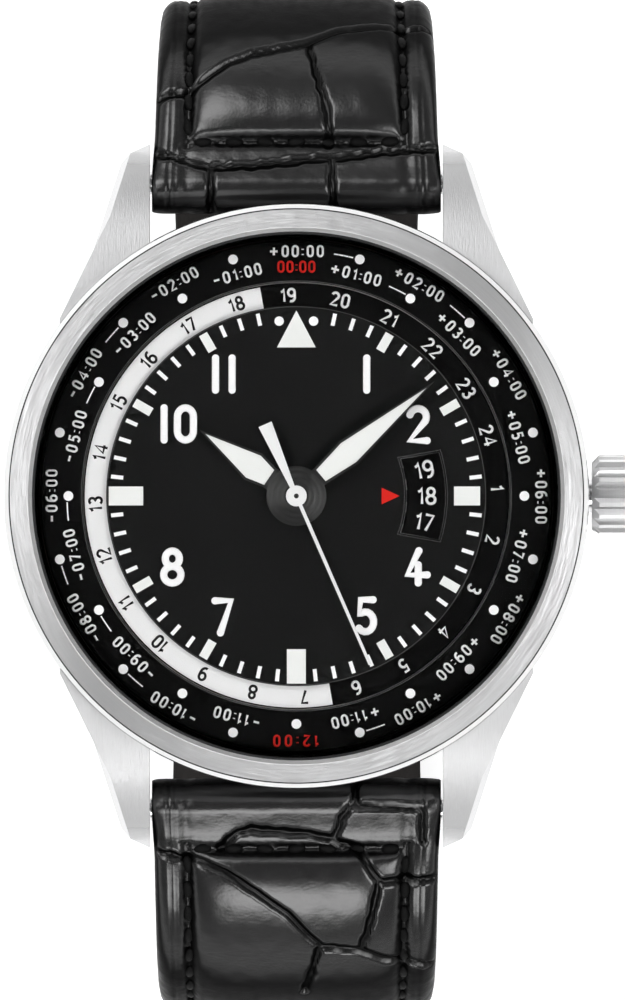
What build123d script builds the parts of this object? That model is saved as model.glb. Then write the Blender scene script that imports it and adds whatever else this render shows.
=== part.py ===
from build123d import *
import math
import os

# World time watch, dial up (+Z), 12 o'clock towards +Y, crown towards +X.
# The origin is on the hands' axis, at the flat outer face of the case back. Millimetres.

# Gaps and overruns
running_gap = 0.05
soft_gap = 0.3
cut_over = 1.0

# Case: every radius is the case radius less a named wall or step
case_r = 22.5
case_top_z = 9.6
case_slope_w = 1.1
case_foot_step = 1.1
case_shoulder_w = 1.9
case_wall = 4.3
case_edge_h = 0.3
bezel_seat_w = 1.1
bezel_seat_h = 0.6
case_foot_z = 0.8
case_flank_z = 2.2
case_flare_z = 5.7
case_flare_top_z = 6.6
case_ledge_z = 7.95
case_flank_r = case_r - case_slope_w
case_foot_r = case_flank_r - case_foot_step
case_ledge_r = case_r - case_shoulder_w
bezel_seat_r = case_r - bezel_seat_w
cavity_r = case_r - case_wall
case_shoulder_z = case_top_z - case_edge_h
bezel_seat_z = case_top_z - bezel_seat_h
holder_w = 0.65
holder_r = cavity_r - running_gap
plate_r = holder_r - holder_w

# Lugs: their plan grows with the case
slot_share = 1.00444
lug_tip_bevel_x_share = 0.06667
lug_tip_bevel_y_share = 0.03111
lug_corner_x_share = 0.6
lug_waist_x_share = 0.69333
lug_root_x_share = 0.80889
lug_waist_y_share = 0.84
lug_root_y_share = 0.60444
lug_back_share = 0.35556
lug_top_start_share = 0.71111
lug_reach = 4.6
lug_corner_drop = 1.5
lug_top_mid_drop = 4.5
lug_top_mid_z = 7.3
lug_tip_z = 2.3
lug_foot_z = 0.6
lug_edge_bevel = 0.45
spring_bar_reach = 1.65
spring_bar_z = 3.0
spring_bar_r = 0.9
spring_bar_tip_r = 0.5
spring_bar_tip_depth = 1.0
strap_slot_w = case_r * slot_share
lug_tip_y = case_r + lug_reach
lug_tip_bevel_x = case_r * lug_tip_bevel_x_share
lug_tip_bevel_y = case_r * lug_tip_bevel_y_share
lug_corner_x = case_r * lug_corner_x_share
lug_corner_y = lug_tip_y - lug_corner_drop
lug_waist_x = case_r * lug_waist_x_share
lug_waist_y = case_r * lug_waist_y_share
lug_root_x = case_r * lug_root_x_share
lug_root_y = case_r * lug_root_y_share
lug_back_y = case_r * lug_back_share
lug_top_start_y = case_r * lug_top_start_share
lug_top_mid_y = lug_tip_y - lug_top_mid_drop
spring_bar_y = case_r + spring_bar_reach

# Bezel, flange ring, crystal
bezel_reveal = 0.1
bezel_side_w = 0.4
bezel_bore_w = 2.1
bezel_inner_w = 0.3
bezel_skirt_w = 0.75
bezel_skirt_drop = 0.5
bezel_lip_h = 0.6
bezel_side_h = 1.6
bezel_inner_h = 1.7
bezel_h = 2.0
flange_wall = 0.3
flange_collar_w = 0.75
flange_collar_h = 0.2
crystal_gasket_w = 0.2
crystal_bevel = 0.25
crystal_stand = 0.1
crystal_dome_h = 1.2
bezel_r = case_r - bezel_reveal
bezel_flat_r = bezel_r - bezel_side_w
bezel_bore_r = bezel_r - bezel_bore_w
bezel_edge_r = bezel_bore_r + bezel_inner_w
bezel_skirt_r = bezel_seat_r - bezel_skirt_w
bezel_lip_top_z = case_top_z + bezel_lip_h
bezel_side_z = case_top_z + bezel_side_h
bezel_inner_z = case_top_z + bezel_inner_h
bezel_top_z = case_top_z + bezel_h
flange_in_r = bezel_bore_r - flange_collar_w
flange_collar_z = bezel_lip_top_z + flange_collar_h
bezel_lip_r = flange_in_r + flange_wall + running_gap
crystal_r = bezel_bore_r - crystal_gasket_w
crystal_edge_z = bezel_top_z + crystal_stand
crystal_top_z = crystal_edge_z + crystal_dome_h

# Case back
back_rim_w = 1.1
back_bevel_w = 1.6
back_top_z = 1.5
back_wall = 1.0
back_spigot_w = 0.9
back_spigot_z = 2.4
back_notch_r = 1.1
back_notch_depth = 0.5
back_notch_inset = 0.6
back_notches = 6
back_gasket_inset = 0.2
back_gasket_w = 0.7
back_gasket_h = 0.3
back_r = case_foot_r - back_rim_w
back_face_r = back_r - back_bevel_w
back_spigot_r = cavity_r - running_gap * 2
back_spigot_in_r = back_spigot_r - back_spigot_w
back_notch_at_r = back_r - back_notch_inset
back_gasket_r = back_r - back_gasket_inset

# Crown and stem
stem_z = 5.0
stem_r = 0.6
stem_square = 0.84
crown_gap = 0.25
crown_len = 3.9
crown_r = 3.14
crown_flutes = 20
crown_phase = -5.6
flute_depth = 0.42
flute_crest_share = 0.17
crown_bevel = 0.55
crown_cap = 1.45
stem_head_cap = 1.05
tube_r = 1.3
tube_in_r = 0.65
tube_inset = 0.15
tube_reach = 1.65
crown_bore_r = 1.38
winding_pinion_teeth = 12
winding_pinion_w = 1.1
winding_pinion_module_share = 0.0108571
winding_pinion_x_share = 0.74857
stem_in_share = 0.68
crown_x = case_r + crown_gap
stem_head_x = crown_x + crown_len - stem_head_cap
crown_bore_x = crown_x + crown_len - crown_cap
tube_in_x = holder_r - tube_inset
tube_out_x = crown_x + tube_reach
winding_pinion_module = plate_r * winding_pinion_module_share
winding_pinion_x = plate_r * winding_pinion_x_share
stem_in_x = plate_r * stem_in_share

# Movement plates
plate_low_z = 6.0
plate_top_z = 7.2
plate_rim_in_r_share = 0.82857
plate_rim_in_r = plate_r * plate_rim_in_r_share
plate_rim_z = 7.88
bridge_r_share = 0.82286
bridge_r = plate_r * bridge_r_share
bridge_low_z = 2.6
bridge_top_z = 4.0
barrel_bridge_shares = (
    (0.375, -0.27083),
    (1.0, -0.27083),
    (1.0, 1.0),
    (0.15278, 1.0),
    (0.15278, 0.83333),
    (0.375, 0.66667),
)
train_bridge_shares = (
    (0.36111, -0.22222),
    (0.36111, 0.65278),
    (0.13194, 0.82639),
    (0.13194, 1.0),
    (-1.0, 1.0),
    (-1.0, -1.0),
    (-0.36111, -1.0),
    (-0.36111, -0.58333),
    (0.13194, -0.58333),
    (0.13194, -0.22222),
)
bridge_foot_r = 0.9
bridge_foot_at_r_share = 0.76
bridge_foot_at_r = plate_r * bridge_foot_at_r_share
calendar_low_z = 7.65
calendar_top_z = 7.88
calendar_r_share = 0.73714
calendar_r = plate_r * calendar_r_share
calendar_hole_r = 1.8
calendar_foot_at_r_share = 0.66286
calendar_foot_at_r = plate_r * calendar_foot_at_r_share
calendar_foot_r = 0.6
jewel_r = 0.6
jewel_h = 0.3
pivot_r = 0.14
screw_r = 0.55
screw_head_r = 0.85
screw_head_h = 0.25
clamp_len = 3.7
clamp_w = 1.7
bridge_foot_sink = 0.5

# Dial side
dial_r_share = 0.83429
dial_r = plate_r * dial_r_share
dial_low_z = 8.25
dial_top_z = 8.65
dial_hole_r = 0.95
dial_foot_r_share = 0.01257
dial_foot_r = plate_r * dial_foot_r_share
dial_foot_at_r_share = 0.72114
dial_foot_at_r = plate_r * dial_foot_at_r_share
dial_feet_angles = (45, 225)
window_in_r_share = 0.48286
window_in_r = plate_r * window_in_r_share
window_out_r_share = 0.65429
window_out_r = plate_r * window_out_r_share
window_in_half = 19.7
window_out_half = 17.0
marker_h = 0.1
block_at_r_share = 0.77714
block_at_r = plate_r * block_at_r_share
block_len_share = 0.08457
block_len = plate_r * block_len_share
block_w_share = 0.04
block_w = plate_r * block_w_share
long_block_len_share = 0.15086
long_block_len = plate_r * long_block_len_share
long_block_out_r_share = 0.82286
long_block_out_r = plate_r * long_block_out_r_share
three_block_len_share = 0.11429
three_block_len = plate_r * three_block_len_share
three_block_out_r_share = 0.80571
three_block_out_r = plate_r * three_block_out_r_share
long_block_w_share = 0.08286
long_block_w = plate_r * long_block_w_share
triangle_tip_r_share = 0.81371
triangle_tip_r = plate_r * triangle_tip_r_share
triangle_base_r_share = 0.65143
triangle_base_r = plate_r * triangle_base_r_share
triangle_half_share = 0.08514
triangle_half = plate_r * triangle_half_share
city_in_r_share = 0.93829
city_in_r = plate_r * city_in_r_share
city_out_r = case_ledge_r - running_gap * 2
ring24_r_share = 0.93429
ring24_r = plate_r * ring24_r_share
ring24_in_r_share = 0.74286
ring24_in_r = plate_r * ring24_in_r_share
ring24_skirt_r_share = 0.82
ring24_skirt_r = plate_r * ring24_skirt_r_share
ring24_low_z = 7.95
ring24_top_z = 8.2
date_ring_r_share = 0.70286
date_ring_r = plate_r * date_ring_r_share
date_ring_low_z = 7.93
date_ring_top_z = 8.15

# Hands
seconds_shaft_r = 0.17
centre_tube_in_r = 0.24
centre_tube_r = 0.38
cannon_r = 0.52
hour_pipe_in_r = 0.58
hour_pipe_r = 0.88
hour_hand_low_z = 9.0
hour_hand_top_z = 9.25
minute_hand_low_z = 9.45
minute_hand_top_z = 9.7
seconds_hand_low_z = 9.86
seconds_hand_top_z = 10.0
seconds_hub_z = 10.2
hour_hub_r_share = 0.13143
hour_hub_r = plate_r * hour_hub_r_share
minute_collar_r_share = 0.09829
minute_collar_r = plate_r * minute_collar_r_share
minute_hub_r_share = 0.07257
minute_hub_r = plate_r * minute_hub_r_share
minute_boss_h = 0.06
hand_frame_w = 0.2
lume_sink = 0.05
hour_lume_start_share = 0.144
hour_lume_start = plate_r * hour_lume_start_share
hour_lume_start_w_share = 0.07829
hour_lume_start_w = plate_r * hour_lume_start_w_share
hour_lume_wide_share = 0.22857
hour_lume_wide = plate_r * hour_lume_wide_share
hour_lume_w_share = 0.116
hour_lume_w = plate_r * hour_lume_w_share
hour_lume_tip_share = 0.484
hour_lume_tip = plate_r * hour_lume_tip_share
hour_tip_share = 0.51429
hour_tip = plate_r * hour_tip_share
minute_lume_start_share = 0.14
minute_lume_start = plate_r * minute_lume_start_share
minute_lume_start_w_share = 0.064
minute_lume_start_w = plate_r * minute_lume_start_w_share
minute_lume_wide_share = 0.29714
minute_lume_wide = plate_r * minute_lume_wide_share
minute_lume_w_share = 0.10686
minute_lume_w = plate_r * minute_lume_w_share
minute_lume_tip_share = 0.74286
minute_lume_tip = plate_r * minute_lume_tip_share
minute_tip_share = 0.78857
minute_tip = plate_r * minute_tip_share
seconds_tip_share = 0.80571
seconds_tip = plate_r * seconds_tip_share
seconds_tail_share = 0.34286
seconds_tail = plate_r * seconds_tail_share
seconds_w = 0.28
seconds_tail_w = 1.1
seconds_hub_r = 0.8
hour_angle = 304.3
minute_angle = 50.3
seconds_angle = 156.4

# Gear teeth, as shares of the module and of the pitch
addendum_share = 0.75
dedendum_share = 1.05
root_half_share = 0.27
tip_half_share = 0.10
rim_share = 0.8
wheel_hole_share = 0.55
wheel_hole_size_share = 0.2
staff_r = 0.22

# Going train: tooth counts, modules and layers
seconds_teeth = 96
seconds_module_share = 0.0057143
seconds_module = plate_r * seconds_module_share
seconds_pinion_teeth = 8
third_teeth = 60
third_module_share = 0.0091429
third_module = plate_r * third_module_share
third_pinion_teeth = 8
centre_teeth = 64
great_teeth = 64
great_pinion_teeth = 12
barrel_teeth = 72
barrel_module_share = 0.0088571
barrel_module = plate_r * barrel_module_share
centre_module = third_module * (third_teeth + seconds_pinion_teeth) / (centre_teeth + third_pinion_teeth)
escape_pinion_teeth = 8
escape_teeth = 20
escape_back_share = 0.6
escape_r_share = 0.12571
escape_r = plate_r * escape_r_share
seconds_wheel_z = 4.3
great_wheel_z = 4.55
barrel_teeth_z = 4.9
third_wheel_z = 5.33
centre_wheel_z = 5.65
escape_wheel_z = 4.8
wheel_h = 0.16
pinion_over = 0.1
third_bearing = 120.0
barrel_bearing = 35.0
barrel_at_r_share = 0.62857
barrel_at_r = plate_r * barrel_at_r_share
escape_bearing = 250.0
balance_bearing = 296.9
balance_at_r_share = 0.49314
balance_at_r = plate_r * balance_at_r_share

# Barrel and winding
drum_r_share = 0.30286
drum_r = plate_r * drum_r_share
drum_low_z = 4.86
drum_top_z = 5.94
drum_wall = 0.15
arbor_r = 0.7
arbor_core_r_share = 0.0628571
arbor_core_r = plate_r * arbor_core_r_share
spring_first_r_share = 0.08
spring_first_r = plate_r * spring_first_r_share
spring_turns = 8
spring_pitch_share = 0.024
spring_pitch = plate_r * spring_pitch_share
spring_strip = 0.12
ratchet_teeth = 44
winding_module_share = 0.0085714
winding_module = plate_r * winding_module_share
crown_wheel_teeth = 32
winding_layer_z = 2.2
winding_layer_h = 0.28
crown_wheel_top_z = 3.62

# Regulating parts
balance_room = 0.1
balance_rim_w = 0.45
balance_low_z = 5.15
balance_h = 0.38
balance_arm_w = 0.6
roller_r = 0.55
roller_h = 0.1
hairspring_first_r = 0.5
hairspring_turns = 9
hairspring_pitch_share = 0.0114286
hairspring_pitch = plate_r * hairspring_pitch_share
hairspring_strip = 0.06
hairspring_z = 4.5
hairspring_h = 0.14
pallet_reach_share = 0.16857
pallet_reach = plate_r * pallet_reach_share
pallet_lever_share = 0.13429
pallet_lever = plate_r * pallet_lever_share
pallet_w = 0.3
pallet_arm_share = 0.08571
pallet_arm = plate_r * pallet_arm_share
pallet_h = 0.14
balance_staff_r = 0.12
cock_w_share = 0.18286
cock_w = plate_r * cock_w_share
cock_foot_x_share = 0.54857
cock_foot_x = plate_r * cock_foot_x_share
cock_foot_y_share = -0.53714
cock_foot_y = plate_r * cock_foot_y_share

# Motion work, 24-hour and date drive
cannon_teeth = 12
minute_wheel_teeth = 36
motion_module_share = 0.01
motion_module = plate_r * motion_module_share
minute_pinion_teeth = 10
hour_wheel_teeth = 40
hour_module = motion_module * (cannon_teeth + minute_wheel_teeth) / (minute_pinion_teeth + hour_wheel_teeth)
ring_drive_teeth = 66
idler_teeth = 33
ring_teeth = 132
ring_module_share = 0.0114286
ring_module = plate_r * ring_module_share
date_pinion_teeth = 20
date_wheel_teeth = 40
date_module_share = 0.0085714
date_module = plate_r * date_module_share
date_ring_teeth = 31
date_tooth_r_share = 0.45714
date_tooth_r = plate_r * date_tooth_r_share
date_tooth_depth = 0.5
date_finger_r_share = 0.19143
date_finger_r = plate_r * date_finger_r_share
date_finger_w = 0.5
minute_wheel_z = 6.8
hour_wheel_z = 7.24
hour_wheel_h = 0.14
ring_drive_z = 7.42
minute_wheel_bearing = 120.0
idler_bearing = 200.0
date_bearing = 150.0
post_r = 0.35

# Rotor
rotor_room = 0.7
rotor_rim_w = 1.9
rotor_r = plate_r - rotor_room
rotor_rim_in_r = rotor_r - rotor_rim_w
rotor_low_z = 1.72
rotor_h = 0.2
rotor_rim_z = 3.3
rotor_hub_r = 2.2
rotor_hub_z = 2.45
bearing_r = 1.1
bearing_head_r = 1.6
bearing_head_z = 1.62
bearing_head_h = 0.06

# Strap: each half is a padded outer layer over a thin lining, wrapped round its spring bar
strap_end_w_share = 0.81818
strap_w = strap_slot_w - soft_gap * 2
strap_end_w = strap_w * strap_end_w_share
strap_end_r = 2.45
strap_bore_r = 1.0
strap_thick = 4.5
strap_end_thick = 2.8
lining_thick = 0.9
lining_start = 4.0
strap_lead_turn = 5.0
upper_lead = 1.0
upper_roll_r = 12.1
upper_drop = 3.0
upper_flat = 15.0
lower_lead = 2.0
lower_roll_r = 13.5
lower_drop = 18.0
lower_flat = 46.0
wrist_r = 30.0
wrist_turn = 40.0
heel_r = 14.0
heel_turn = 50.0
section_turn = 8.5
padded_share = 0.62
shoulder_share = 0.34
hole_r = 1.1
hole_pitch = 6.5
holes = 7
hole_first = 12.0
tip_bevel_share = 0.45

# Keepers and buckle
keeper_wall = 1.2
keeper_len = 5.0
keeper_room = 3.1
fixed_keeper_reach = 4.95
free_keeper_reach = 11.95
buckle_bar_r = 0.9
buckle_bar_gap = 1.2
buckle_wrap_r = 2.0
buckle_slot_w = 3.2
buckle_over_w = 5.5
buckle_w = strap_end_w + buckle_over_w
buckle_len = 11.0
buckle_rod = 2.4
buckle_bevel = 0.36
tongue_w = 2.2
tongue_h = 1.2

made = {}


def disc(radius, low, high, x=0.0, y=0.0):
    """Upright cylinder between two heights."""
    base = Pos(x, y, low)
    return base * Cylinder(radius, high - low, align=(Align.CENTER, Align.CENTER, Align.MIN))


def ring(outer, inner, low, high, x=0.0, y=0.0):
    """Upright flat ring between two heights."""
    return disc(outer, low, high, x, y) - disc(inner, low - cut_over, high + cut_over, x, y)


def turned(points):
    """Solid turned about the Z axis from an outline of (radius, height) points."""
    outline = Plane.XZ * Polygon(*points, align=None)
    return revolve(outline, axis=Axis.Z, revolution_arc=360)


def raised(face, height):
    """Upright solid over a level face."""
    return extrude(face, amount=height, dir=(0, 0, 1))


def prism(points, low, high):
    """Upright prism over a plan outline."""
    return raised(Pos(0, 0, low) * Polygon(*points, align=None), high - low)


def polar(radius, bearing):
    """Point at a radius, with the bearing counted anticlockwise from +X."""
    turn = math.radians(bearing)
    return radius * math.cos(turn), radius * math.sin(turn)


def bearing_of(start, end):
    """Bearing from one point to another, anticlockwise from +X."""
    return math.degrees(math.atan2(end[1] - start[1], end[0] - start[0]))


def meeting(first, first_r, second, second_r, side):
    """Point at the given distances from two others, on the chosen side of their line."""
    apart = math.dist(first, second)
    along = (first_r**2 - second_r**2 + apart**2) / (2 * apart)
    off = side * math.sqrt(first_r**2 - along**2)
    ux, uy = (second[0] - first[0]) / apart, (second[1] - first[1]) / apart
    return first[0] + along * ux - off * uy, first[1] + along * uy + off * ux


def tooth_ring(teeth, module, turn, at, inner=False):
    """Outline of a toothed wheel, or of the toothed hole of an internal one."""
    sign = -1 if inner else 1
    radius = teeth * module / 2
    root = radius - sign * dedendum_share * module
    tip = radius + sign * addendum_share * module
    pitch = 360 / teeth
    points = []
    for number in range(teeth):
        middle = turn + number * pitch
        for r, share in (
            (root, -root_half_share),
            (tip, -tip_half_share),
            (tip, tip_half_share),
            (root, root_half_share),
        ):
            x, y = polar(r, middle + share * pitch)
            points.append((at[0] + x, at[1] + y))
    return points


def gear(teeth, module, low, high, turn=0.0, at=(0.0, 0.0)):
    """Spur wheel or pinion."""
    return prism(tooth_ring(teeth, module, turn, at), low, high)


def wheel(teeth, module, low, turn, at, spokes=5, height=wheel_h):
    """Spur wheel with round lightening holes between its spokes."""
    blank = gear(teeth, module, low, low + height, turn, at)
    radius = teeth * module / 2
    for number in range(spokes):
        x, y = polar(radius * wheel_hole_share, turn + number * 360 / spokes)
        hole = radius * wheel_hole_size_share
        blank -= disc(hole, low - cut_over, low + height + cut_over, at[0] + x, at[1] + y)
    return blank


def mesh_turn(turn, teeth, start, end, end_teeth, inner=False):
    """Turn of the wheel at end that meshes with the placed wheel at start."""
    facing = bearing_of(start, end)
    pitch, end_pitch = 360 / teeth, 360 / end_teeth
    if inner:
        lead = ((turn - facing - 180) / pitch) % 1.0
        return facing + 180 + lead * end_pitch + end_pitch / 2
    lead = ((turn - facing) / pitch) % 1.0
    return facing + 180 - lead * end_pitch + end_pitch / 2


def spiral_strip(first_r, turns, pitch, strip, low, high, at):
    """Flat coiled spring, made of half circles that grow by half a pitch each."""
    edges = []
    ends = []
    for offset in (0.0, strip):
        run = []
        radius = first_r + offset
        middle = 0.0
        for half in range(2 * turns):
            sign = 1 if half % 2 == 0 else -1
            start = (middle + sign * radius, 0.0)
            top = (middle, sign * radius)
            end = (middle - sign * radius, 0.0)
            run.append(ThreePointArc(start, top, end))
            radius += pitch / 2
            middle = end[0] + sign * radius
        edges.append(run)
        ends.append(((first_r + offset, 0.0), end))
    inner_start, inner_end = ends[0]
    outer_start, outer_end = ends[1]
    loop = edges[0] + [Line(inner_end, outer_end)] + edges[1] + [Line(outer_start, inner_start)]
    face = make_face(Curve() + loop)
    return raised(Pos(at[0], at[1], low) * face, high - low)


def keep(name, *shapes):
    """Store a node, made of one or more separate solids."""
    solids = [solid for shape in shapes for solid in shape.solids()]
    made[name] = solids[0] if len(solids) == 1 else Compound(children=solids)


# Places of the wheels, worked out from their teeth
centre = (0.0, 0.0)
third_reach = (third_teeth + seconds_pinion_teeth) * third_module / 2
third_at = polar(third_reach, third_bearing)
barrel_at = polar(barrel_at_r, barrel_bearing)
great_reach = (great_teeth + third_pinion_teeth) * centre_module / 2
barrel_reach = (barrel_teeth + great_pinion_teeth) * barrel_module / 2
great_at = meeting(third_at, great_reach, barrel_at, barrel_reach, 1)
escape_reach = (seconds_teeth + escape_pinion_teeth) * seconds_module / 2
escape_at = polar(escape_reach, escape_bearing)
balance_at = polar(balance_at_r, balance_bearing)
escape_to_balance = bearing_of(escape_at, balance_at)
pallet_step = polar(pallet_reach, escape_to_balance)
pallet_at = (escape_at[0] + pallet_step[0], escape_at[1] + pallet_step[1])
balance_r = math.dist(pallet_at, balance_at) - staff_r - balance_room
ratchet_pitch_r = ratchet_teeth * winding_module / 2
crown_wheel_r = crown_wheel_teeth * winding_module / 2
pinion_meet = (winding_pinion_x + winding_pinion_w / 2, 0.0)
crown_wheel_at = meeting(
    barrel_at, ratchet_pitch_r + crown_wheel_r, pinion_meet, crown_wheel_r, -1
)
minute_wheel_at = polar(
    (cannon_teeth + minute_wheel_teeth) * motion_module / 2, minute_wheel_bearing
)
idler_at = polar((ring_drive_teeth + idler_teeth) * ring_module / 2, idler_bearing)
date_at = polar((date_pinion_teeth + date_wheel_teeth) * date_module / 2, date_bearing)

# Turns of the wheels at rest
seconds_turn = 0.0
third_turn = mesh_turn(seconds_turn, seconds_pinion_teeth, centre, third_at, third_teeth)
third_pinion_turn = third_turn
centre_turn = mesh_turn(third_pinion_turn, third_pinion_teeth, third_at, centre, centre_teeth)
great_turn = mesh_turn(third_pinion_turn, third_pinion_teeth, third_at, great_at, great_teeth)
barrel_turn = mesh_turn(great_turn, great_pinion_teeth, great_at, barrel_at, barrel_teeth)
escape_turn = mesh_turn(seconds_turn, seconds_teeth, centre, escape_at, escape_pinion_teeth)
minute_turn = mesh_turn(0.0, cannon_teeth, centre, minute_wheel_at, minute_wheel_teeth)
hour_turn = mesh_turn(0.0, minute_pinion_teeth, minute_wheel_at, centre, hour_wheel_teeth)
idler_turn = mesh_turn(0.0, ring_drive_teeth, centre, idler_at, idler_teeth)
ring24_turn = mesh_turn(idler_turn, idler_teeth, idler_at, centre, ring_teeth, inner=True)
date_turn = mesh_turn(0.0, date_pinion_teeth, centre, date_at, date_wheel_teeth)
crown_wheel_turn = 0.0
ratchet_turn = mesh_turn(
    crown_wheel_turn, crown_wheel_teeth, crown_wheel_at, barrel_at, ratchet_teeth
)


def lug(side_x, side_y):
    """One lug, curved down to its tip, with a bevel along its outer edge."""
    inner_x = strap_slot_w / 2
    plan = [
        (inner_x, lug_back_y),
        (inner_x, lug_tip_y),
        (inner_x + lug_tip_bevel_x, lug_tip_y - lug_tip_bevel_y),
        (lug_corner_x, lug_corner_y),
        (lug_waist_x, lug_waist_y),
        (lug_root_x, lug_root_y),
        (lug_root_x, lug_back_y),
    ]
    post = prism(plan, lug_foot_z, case_top_z)
    top = (lug_top_start_y, case_shoulder_z)
    tip = (lug_tip_y + cut_over, lug_tip_z)
    rim = [
        ThreePointArc(top, (lug_top_mid_y, lug_top_mid_z), tip),
        Line(tip, (lug_tip_y + cut_over, lug_foot_z)),
        Line((lug_tip_y + cut_over, lug_foot_z), (0, lug_foot_z)),
        Line((0, lug_foot_z), (0, case_shoulder_z)),
        Line((0, case_shoulder_z), top),
    ]
    side_view = make_face(Curve() + rim)
    body = extrude(Plane.YZ * side_view, amount=lug_root_x + cut_over, dir=(1, 0, 0))
    shape = post & body
    outer_x = strap_slot_w / 2 + lug_tip_bevel_x
    curved = [edge for edge in shape.edges() if edge.geom_type != GeomType.LINE]
    outer = [edge for edge in curved if edge.center().X > outer_x]
    crest = max(outer, key=lambda edge: edge.length)
    shape = chamfer(crest, lug_edge_bevel)
    if side_x < 0:
        shape = mirror(shape, Plane.YZ)
    if side_y < 0:
        shape = mirror(shape, Plane.XZ)
    return shape


def along_x(radius, start, end, y=0.0, z=0.0):
    """Cylinder along X between two stations."""
    base = Pos(start, y, z) * Rot(0, 90, 0)
    return base * Cylinder(radius, end - start, align=(Align.CENTER, Align.CENTER, Align.MIN))


def make_case():
    """Case middle with its lugs, spring bars, crown tube and case back."""
    body = turned(
        [
            (cavity_r, back_top_z),
            (back_r + running_gap, back_top_z),
            (back_r + running_gap, case_foot_z),
            (case_foot_r, case_foot_z),
            (case_flank_r, case_flank_z),
            (case_flank_r, case_flare_z),
            (case_r, case_flare_top_z),
            (case_r, case_shoulder_z),
            (bezel_r, case_top_z),
            (bezel_seat_r, case_top_z),
            (bezel_seat_r, bezel_seat_z),
            (case_ledge_r, bezel_seat_z),
            (case_ledge_r, case_ledge_z),
            (cavity_r, case_ledge_z),
        ]
    )
    lugs = [lug(x, y) for x in (1, -1) for y in (1, -1)]
    hollow = disc(back_r + running_gap, case_foot_z - cut_over, back_top_z)
    hollow += disc(cavity_r, case_foot_z, case_top_z)
    hollow += disc(case_ledge_r, case_ledge_z, case_top_z + cut_over)
    hollow += disc(bezel_seat_r, bezel_seat_z, case_top_z + cut_over)
    body += [piece - hollow for piece in lugs]
    tip_x = strap_slot_w / 2 + spring_bar_tip_depth
    for y in (spring_bar_y, -spring_bar_y):
        body -= along_x(spring_bar_tip_r, -tip_x, tip_x, y, spring_bar_z)
    body -= along_x(tube_r, cavity_r - cut_over, case_r + cut_over, 0, stem_z)
    keep("case_middle", body)

    bars = []
    for y in (spring_bar_y, -spring_bar_y):
        half = strap_slot_w / 2 - running_gap
        bar = along_x(spring_bar_r, -half, half, y, spring_bar_z)
        bars.append(bar + along_x(spring_bar_tip_r, -tip_x, tip_x, y, spring_bar_z))
    keep("spring_bars", *bars)

    tube = along_x(tube_r, tube_in_x, tube_out_x, 0, stem_z)
    keep("crown_tube", tube - along_x(tube_in_r, tube_in_x - cut_over, tube_out_x + cut_over, 0, stem_z))

    groove_low = back_top_z - back_gasket_h
    back = turned(
        [
            (0, 0),
            (back_face_r, 0),
            (back_r, case_foot_z),
            (back_r, back_top_z),
            (back_spigot_r, back_top_z),
            (back_spigot_r, back_spigot_z),
            (back_spigot_in_r, back_spigot_z),
            (back_spigot_in_r, back_wall),
            (0, back_wall),
        ]
    )
    gasket = ring(back_gasket_r, back_gasket_r - back_gasket_w, groove_low, back_top_z)
    back -= gasket
    for number in range(back_notches):
        x, y = polar(back_notch_at_r, number * 360 / back_notches)
        back -= disc(back_notch_r, -cut_over, back_notch_depth, x, y)
    keep("case_back", back)
    keep("case_back_gasket", gasket)


def make_bezel():
    """Bezel, flange ring, crystal and its gasket."""
    keep(
        "bezel",
        turned(
            [
                (bezel_lip_r, case_top_z),
                (bezel_skirt_r, case_top_z),
                (bezel_skirt_r, case_top_z - bezel_skirt_drop),
                (bezel_seat_r, case_top_z - bezel_skirt_drop),
                (bezel_seat_r, case_top_z),
                (bezel_r, case_top_z),
                (bezel_r, bezel_side_z),
                (bezel_flat_r, bezel_top_z),
                (bezel_edge_r, bezel_top_z),
                (bezel_bore_r, bezel_inner_z),
                (bezel_bore_r, bezel_lip_top_z),
                (bezel_lip_r, bezel_lip_top_z),
            ]
        ),
    )
    flange_out_r = flange_in_r + flange_wall
    flange = ring(flange_out_r, flange_in_r, dial_top_z, flange_collar_z)
    collar = ring(bezel_bore_r - running_gap, flange_in_r, bezel_lip_top_z, flange_collar_z)
    keep("flange_ring", flange + collar)
    keep("crystal_gasket", ring(bezel_bore_r, crystal_r, flange_collar_z, bezel_inner_z))
    dome = crystal_top_z - crystal_edge_z
    edge_r = crystal_r - crystal_bevel
    dome_r = (edge_r**2 + dome**2) / (2 * dome)
    mid_r = edge_r / 2
    mid_z = crystal_top_z - dome_r + math.sqrt(dome_r**2 - mid_r**2)
    outline = [
        Line((0, flange_collar_z), (crystal_r, flange_collar_z)),
        Line((crystal_r, flange_collar_z), (crystal_r, crystal_edge_z - crystal_bevel)),
        Line((crystal_r, crystal_edge_z - crystal_bevel), (edge_r, crystal_edge_z)),
        ThreePointArc((edge_r, crystal_edge_z), (mid_r, mid_z), (0, crystal_top_z)),
        Line((0, crystal_top_z), (0, flange_collar_z)),
    ]
    face = Plane.XZ * make_face(Curve() + outline)
    keep("crystal", revolve(face, axis=Axis.Z, revolution_arc=360))


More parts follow.
